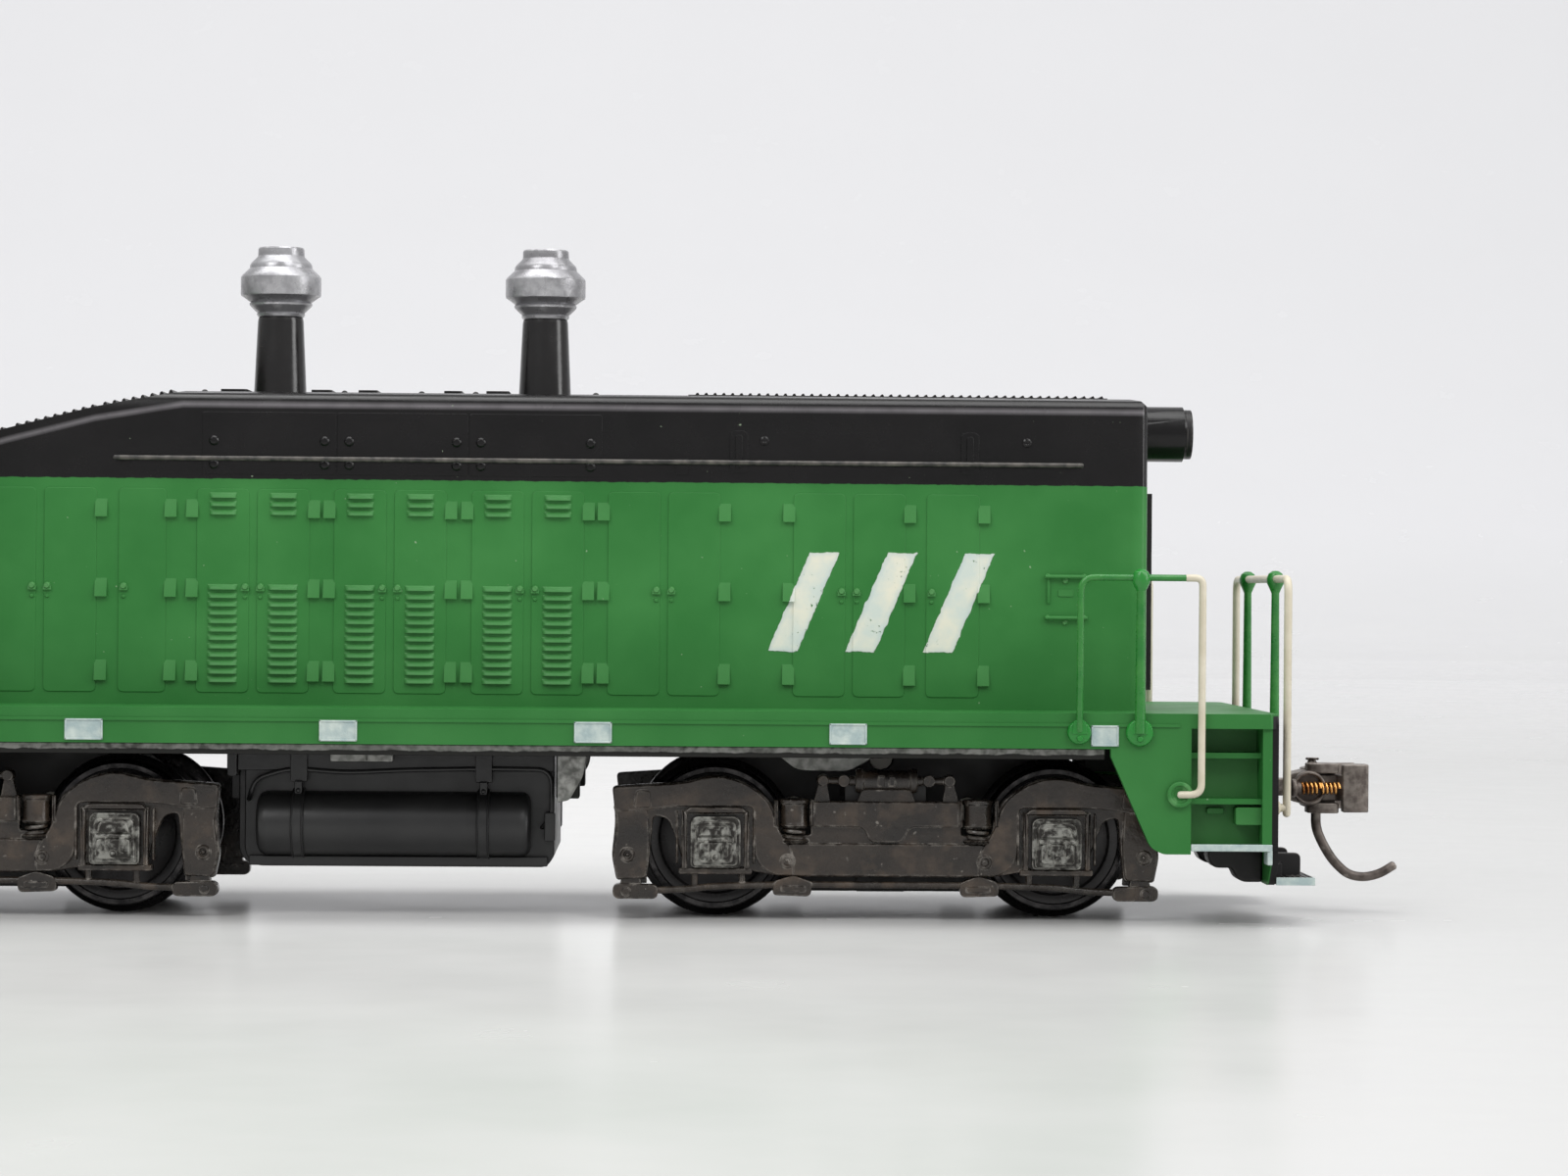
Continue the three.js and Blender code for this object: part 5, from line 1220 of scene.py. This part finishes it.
def coupler(end, out):
    """The draft coupler of one end, made for the front and turned round for the rear."""
    body, hand = f"coupler_{end}", f"knuckle_{end}"
    z = COUPLER_Z
    s = Shape()
    s.panel("xz", (62.0, 74.0), around(z, 0.72), (-1.15, 1.15))
    s.turned("z", [(1.05, z - 0.74), (1.85, z - 0.74), (1.85, z + 0.74), (1.05, z + 0.74)],
             (63.0, 0), 32)
    # Rounded end of the shank, which holds the spring in a cup.
    s.turned("y", [(0, -1.75), (1.2, -1.75), (1.4, -1.6), (1.48, -1.35), (1.48, 1.7), (1.3, 1.9),
                   (0, 1.9)], (75.0, z), 40)
    s.turned("y", [(1.12, -1.7), (1.46, -1.7), (1.46, -2.3), (1.3, -2.45), (1.12, -2.3)], (75.0, z),
             40)
    s.turned("x", [(0, 73.42), (0.7, 73.42), (0.78, 73.55), (0.78, 73.8), (0.55, 73.95),
                   (0.5, 74.3), (0, 74.3)],
             (SPRING_Y, z), 24)
    s.prism("xz", [(73.4, z - 1.1, 0.4), (74.9, z - 1.5), (74.9, z + 1.5), (73.4, z + 1.1, 0.4)],
            (-1.4, 1.7))
    for z0, z1 in ((8.46, 9.32), (11.86, 12.68)):
        s.prism("xy", [(74.9, -0.3), (74.9, -1.9, 0.3), (76.0, -2.4, 0.5), (77.55, -2.3, 0.4),
                       (77.6, -0.3)], (z0, z1), 5)
    s.box((76.0, 77.55), (-0.25, 2.6), (8.6, 12.6))
    s.prism("xz", [(74.8, 8.95), (76.1, 8.65), (76.1, 12.55), (74.8, 12.2)], (-0.25, 1.9))
    s.prism("xy", [(76.6, 1.2), (76.6, 2.6, 0.3), (78.4, 3.15, 0.5), (79.75, 3.35, 0.2),
                   (79.75, 2.75, 0.2), (78.2, 2.0, 0.6)],
            (8.65, 12.55), 5)
    # Small peened pin on top.
    s.turned("z", [(0, 12.4), (0.5, 12.4), (0.42, 12.75), (0.3, 12.8), (0.36, 12.95), (0.56, 13.08),
                   (0, 13.1)],
             (75.6, 0.2), 20)
    for k in range(5):
        a = 2 * math.pi * k / 5
        s.ball((75.6 + 0.46 * math.cos(a), 0.2 + 0.46 * math.sin(a), 12.98), 0.13, 0.8, 10)
    s.scaled(out, out).done(f"coupler_shank_{end}", body, COUPLER_METAL, 0.1, (f"coupler_{end}",),
                            "coupler_metal")
    # The claw, its tall face and its tail between the ears.
    px, py = KNUCKLE_PIN
    tip = [(80.1, -2.2, 0.35), (80.1, 0.3, 0.3), (79.2, 0.35, 0.3), (78.7, -0.9, 0.5)]
    s = Shape()
    s.prism("xy", [(px - 0.5, py - 0.5, 0.3), (77.4, py - 0.5, 0.2), (77.9, -2.45, 0.3),
                   (78.8, -2.55, 0.4), *tip, (78.0, -0.75, 0.3), (px - 0.5, py + 0.5, 0.3)],
            (9.5, 11.7), 5)
    s.prism("xy", [(77.8, -2.5, 0.2), (79.1, -2.5, 0.3), *tip, (77.9, -0.9, 0.2)], (8.55, 12.6), 5)
    s.box((79.86, 80.1), (-2.05, 0.1), (8.52, 12.62))
    s.rod("z", (8.3, 9.6), KNUCKLE_PIN, 0.42, 0.42, 20)
    s.scaled(out, out).done(f"knuckle_claw_{end}", hand, COUPLER_METAL, 0.12, (f"knuckle_{end}",),
                            "coupler_metal")
    bends = [(px, 9.2), (px, 7.2), (76.3, 5.9), (77.2, 4.4), (78.5, 3.2), (79.9, 2.95), (81.3, 3.3),
             (82.45, 4.02)]
    path = rounded_path([Vector((x, py, h)) for x, h in bends], 0.9, 8)
    count = len(path)
    rings = tube_rings(path, lambda i: 0.42 - 0.04 * i / count, 20)
    ahead = (path[-1] - path[-2]).normalized()
    cap = [p * 0.3 + path[-1] * 0.7 + ahead * 0.16 for p in rings[-1]]
    shoulder = [(p + q) / 2 + ahead * 0.06 for p, q in zip(rings[-1], cap)]
    s = Shape()
    s.sweep([*rings, shoulder, cap])
    s.scaled(out, out).done(f"trip_pin_{end}", hand, COUPLER_METAL, 0, slot="coupler_metal",
                            smooth=50)
    # Half the spring rides on each, since one rigid coil can't follow the claw.
    for where, rider, x0, x1, nodes in (("tail", body, 74.25, 75.9, (f"knuckle_spring_{end}",)),
                                        ("tip", hand, 75.9, 77.5, ())):
        s = Shape()
        s.coil(((x0 + x1) / 2, SPRING_Y, z), x1 - x0, 0.44, 0.115, 4.5, 18, 10)
        s.scaled(out, out).done(f"knuckle_coil_{where}_{end}", rider, BRONZE, 0, nodes,
                                "spring_bronze", 60)
    moulded(f"coupler_lid_{end}", f"coupler_pocket_lid_{end}", "chassis", PLAIN_BLACK, 0.12)
    s = Shape()
    for y in (3.4, -3.4):
        s.turned("z", [(0, 8.55), (0.75, 8.55), (0.95, 8.7), (0.95, 8.8), (0, 8.8)], (64.8, y), 24)
    s.scaled(out, out).done(f"pocket_lid_screws_{end}", "chassis", STEEL, 0.04, slot="motor_steel")


for end, out in ENDS:
    coupler(end, out)

# ---- cab
CAB_HALF = 17.2
WINDOW_Z = (32.5, 43.6)
FRONT_WALL = (-39.8, -39.54)  # the depth of the frames round its windows
REAR_WALL = (-62.66, -62.4)
HANDLE = [(17.3, 25.0), (17.62, 25.0), (17.62, 27.2), (17.3, 27.2)]  # the door's, as (y, z)
REAR_IRON = [(-62.4, 20.0), (-63.2, 20.4), (-63.2, 30.4), (-62.4, 30.8)]  # as (x, z)
moulded("cab_shell", "cab_moulding", "chassis", CAB_PAINT, 0.14)
moulded("cab_glazing", "cab_windows", "chassis", CLEAR, 0.08)


def surround(s, plane, u, v, span, wide=0.42):
    """A raised frame round a window opening."""
    (u0, u1), (v0, v1) = u, v
    for a, b, c, d in ((u0 - wide, u1 + wide, v0 - wide, v0), (u0 - wide, u1 + wide, v1, v1 + wide),
                       (u0 - wide, u0, v0 - wide, v1 + wide),
                       (u1, u1 + wide, v0 - wide, v1 + wide)):
        s.panel(plane, (a, b), (c, d), span)


frames = Shape()
for side in (1, -1):
    face = (side * (CAB_HALF - 0.1), side * (CAB_HALF + 0.16))
    for u in ((-50.1, -42.1), (-59.8, -51.8)):
        surround(frames, "xz", u, WINDOW_Z, face)
        # Sliding sash and its bars.
        middle = sum(u) / 2
        frames.box((middle - 0.2, middle + 0.2), (side * 16.5, side * 17.1), WINDOW_Z)
        frames.box(u, (side * 16.5, side * 17.0), (37.9, 38.2))
    frames.box((-60.2, -40.8), (side * 17.1, side * 17.55), (31.55, 32.0))
    # Cab door outline with its kick plate, hinges and handle.
    frames.panel("xz", (-60.6, -52.2), (18.2, 31.0), (side * 17.0, side * 17.32), 0.3)
    frames.panel("xz", (-59.8, -53.0), (19.0, 23.2), (side * 17.2, side * 17.42), 0.2)
    for z in (20.0, 24.5, 29.6):
        frames.rod("z", (z - 0.6, z + 0.6), (-60.9, side * 17.3), 0.22, 0.22, 12)
    frames.wire([(-53.2, side * y, z) for y, z in HANDLE], 0.14, 0.2, 10)
    # Panel seams, rivets and a louvred panel on the forward half.
    for x in (-50.95, -40.9):
        frames.box((x - 0.14, x + 0.14), (side * 17.1, side * 17.3), (17.6, 45.2))
    for k in range(7):
        for x in (-51.4, -50.5, -40.35):
            frames.ball((x, side * 17.22, 18.6 + k * 1.9), 0.13, 1.0, 8)
    frames.panel("xz", (-48.6, -42.6), (19.6, 25.6), (side * 17.1, side * 17.4), 0.3)
    for k in range(6):
        frames.box((-47.9, -43.3), (side * 17.3, side * 17.52), (20.4 + k * 0.8, 20.8 + k * 0.8))
    # Windows in the front wall beside and over the hood, and in the rear wall.
    surround(frames, "yz", sorted((side * 12.2, side * 15.8)), (33.5, 43.6), FRONT_WALL, 0.35)
    surround(frames, "yz", sorted((side * 1.0, side * 9.6)), (39.8, 43.6), FRONT_WALL, 0.35)
    surround(frames, "yz", sorted((side * 8.6, side * 15.6)), WINDOW_Z, REAR_WALL, 0.4)
    frames.wire([(x, side * 16.4, z) for x, z in REAR_IRON], 0.2, 0.5, 10)
surround(frames, "yz", (-6.4, 6.4), (34.5, 43.6), REAR_WALL, 0.4)
frames.box((-62.6, -62.5), (-5.6, 5.6), (18.4, 33.6))
frames.done("cab_frames", "chassis", CAB_PAINT, 0.05, slot="green_plastic")

# Ribs, a hatch and the horn's post on the arched cab roof.
roof = Shape()
arch = [(y, 50.7 - 4.2 * (y / CAB_HALF) ** 2) for y in [(-16 + 2 * k) for k in range(17)]]
for x in (-60.8, -55.2, -46.2, -41.2):
    top = [(y, h + 0.10) for y, h in arch]
    low = [(y, h - 0.5) for y, h in reversed(arch)]
    roof.prism("yz", top + low, (x - 0.28, x + 0.28))
roof.panel("xy", (-53.4, -47.2), (-4.2, 4.2), (50.1, 51.2), 0.6)
for y in (-3.2, 3.2):
    roof.rod("x", (-52.6, -51.4), (y, 51.2), 0.3, 0.3, 12)
roof.rod("z", (49.4, 52.0), (-42.6, 7.0), 0.5, 0.4, 16)
roof.done("cab_roof_details", "chassis", PLAIN_BLACK, 0.08, slot="black_plastic")
horn = Shape()
horn.turned("x", [(0, -43.6), (0.35, -43.6), (0.42, -43.2), (0.42, -41.2), (0.7, -39.9),
                  (1.25, -38.9), (1.3, -38.75), (1.05, -38.85), (0.5, -39.8), (0, -40.2)],
            (7.0, 52.2), 32)
horn.done("air_horn", "chassis", BRASS, 0.03, slot="brass_turned")

# ---- camera, floor and light
CAMERA_AT = Vector((21.12, -337.5, 27.24)) * MM
CAMERA_YAW = math.radians(1.558)  # turned towards +X
CAMERA_ROLL = 0.0078
CAMERA_LENS = 91.0


def add_camera():
    data = bpy.data.cameras.new("camera")
    data.lens = CAMERA_LENS
    data.sensor_width = 36
    data.clip_start = 0.01
    data.clip_end = 20
    camera = place_object("camera", data)
    ahead = Vector((math.sin(CAMERA_YAW), math.cos(CAMERA_YAW), 0))
    level = Vector((math.cos(CAMERA_YAW), -math.sin(CAMERA_YAW), 0))
    up = Vector((0, 0, 1))
    c, q = math.cos(CAMERA_ROLL), math.sin(CAMERA_ROLL)
    right, top = level * c + up * q, up * c - level * q
    turn = Matrix((right, top, -ahead)).transposed().to_4x4()
    camera.matrix_world = Matrix.Translation(CAMERA_AT) @ turn
    bpy.context.scene.camera = camera


def floor_material():
    """Pale and slightly cloudy; its tone varies with the place, to look as even as in the photo."""
    n = Nodes("studio floor")
    cloud = n.cloud(60.0, 4.0, 0.3, 0.7)
    near = n.mix(cloud, (203, 202, 201), (200, 200, 199))
    far = n.mix(cloud, (222, 222, 222), (220, 220, 221))
    wall = n.mix(cloud, (229, 229, 231), (228, 228, 230))
    # Painted shade: the floor is darker at the front and further to the right, where the lamps
    # light it most, so that it looks even.
    near = n.mix(n.ramp(n.x, 0.02, 0.1), near, (184, 184, 183))
    tone = n.mix(n.ramp(n.y, 0.3, 0.9), near, far)
    tone = n.mix(n.ramp(n.z, 0.0, 0.05), tone, wall)
    shine = n.cloud(25.0, 4.0, 0.3, 0.7, 0.20, 0.28)
    return n.finish(tone, shine, n.bump(n.noise(14.0, 2.0), 0.02), 0.0, 0.1)


def add_floor():
    """A pale sweep: a flat floor that curves up far behind the model."""
    flat, radius, top, half = 0.9, 0.6, 2.4, 2.6
    profile = [(-1.6, 0.0), (flat, 0.0)]
    profile += [(flat + radius * math.sin(a * math.pi / 24),
                 radius * (1 - math.cos(a * math.pi / 24))) for a in range(1, 13)]
    profile += [(flat + radius, top)]
    bm = bmesh.new()
    rows = [[bm.verts.new((x, y, z)) for x in (-half, half)] for y, z in profile]
    for a, b in zip(rows, rows[1:]):
        bm.faces.new([a[0], a[1], b[1], b[0]]).smooth = True
    mesh = bpy.data.meshes.new("floor")
    bm.to_mesh(mesh)
    bm.free()
    mesh.materials.append(floor_material())
    floor = place_object("floor", mesh)


def area_light(name, at, target, size, power, colour=(1, 1, 1)):
    data = bpy.data.lights.new(name, "AREA")
    data.shape = "RECTANGLE"
    data.size, data.size_y = size
    data.energy = power
    data.color = colour
    light = place_object(name, data)
    light.location = at
    light.rotation_euler = (Vector(target) - Vector(at)).to_track_quat("-Z", "Y").to_euler()


def add_light():
    world = bpy.data.worlds.new("studio")
    world.use_nodes = True
    background = world.node_tree.nodes["Background"]
    background.inputs["Color"].default_value = (1.0, 1.0, 1.0, 1.0)
    background.inputs["Strength"].default_value = 0.53
    bpy.context.scene.world = world
    middle = (0.02, 0, 0.02)
    area_light("key above left", (-0.5, -0.7, 0.75), middle, (0.5, 0.5), 3.9)
    area_light("key above right", (0.55, -0.65, 0.75), middle, (0.5, 0.5), 3.3)
    area_light("right side", (0.75, -0.2, 0.3), middle, (0.25, 0.5), 1.9)
    area_light("top", (0.0, -0.04, 0.9), middle, (1.0, 0.4), 4.8)
    area_light("backdrop", (0.0, 0.35, 1.3), (0.0, 1.5, 0.2), (2.2, 0.6), 8.8)
    bpy.context.scene.view_settings.view_transform = "Standard"


add_camera()
add_floor()
add_light()
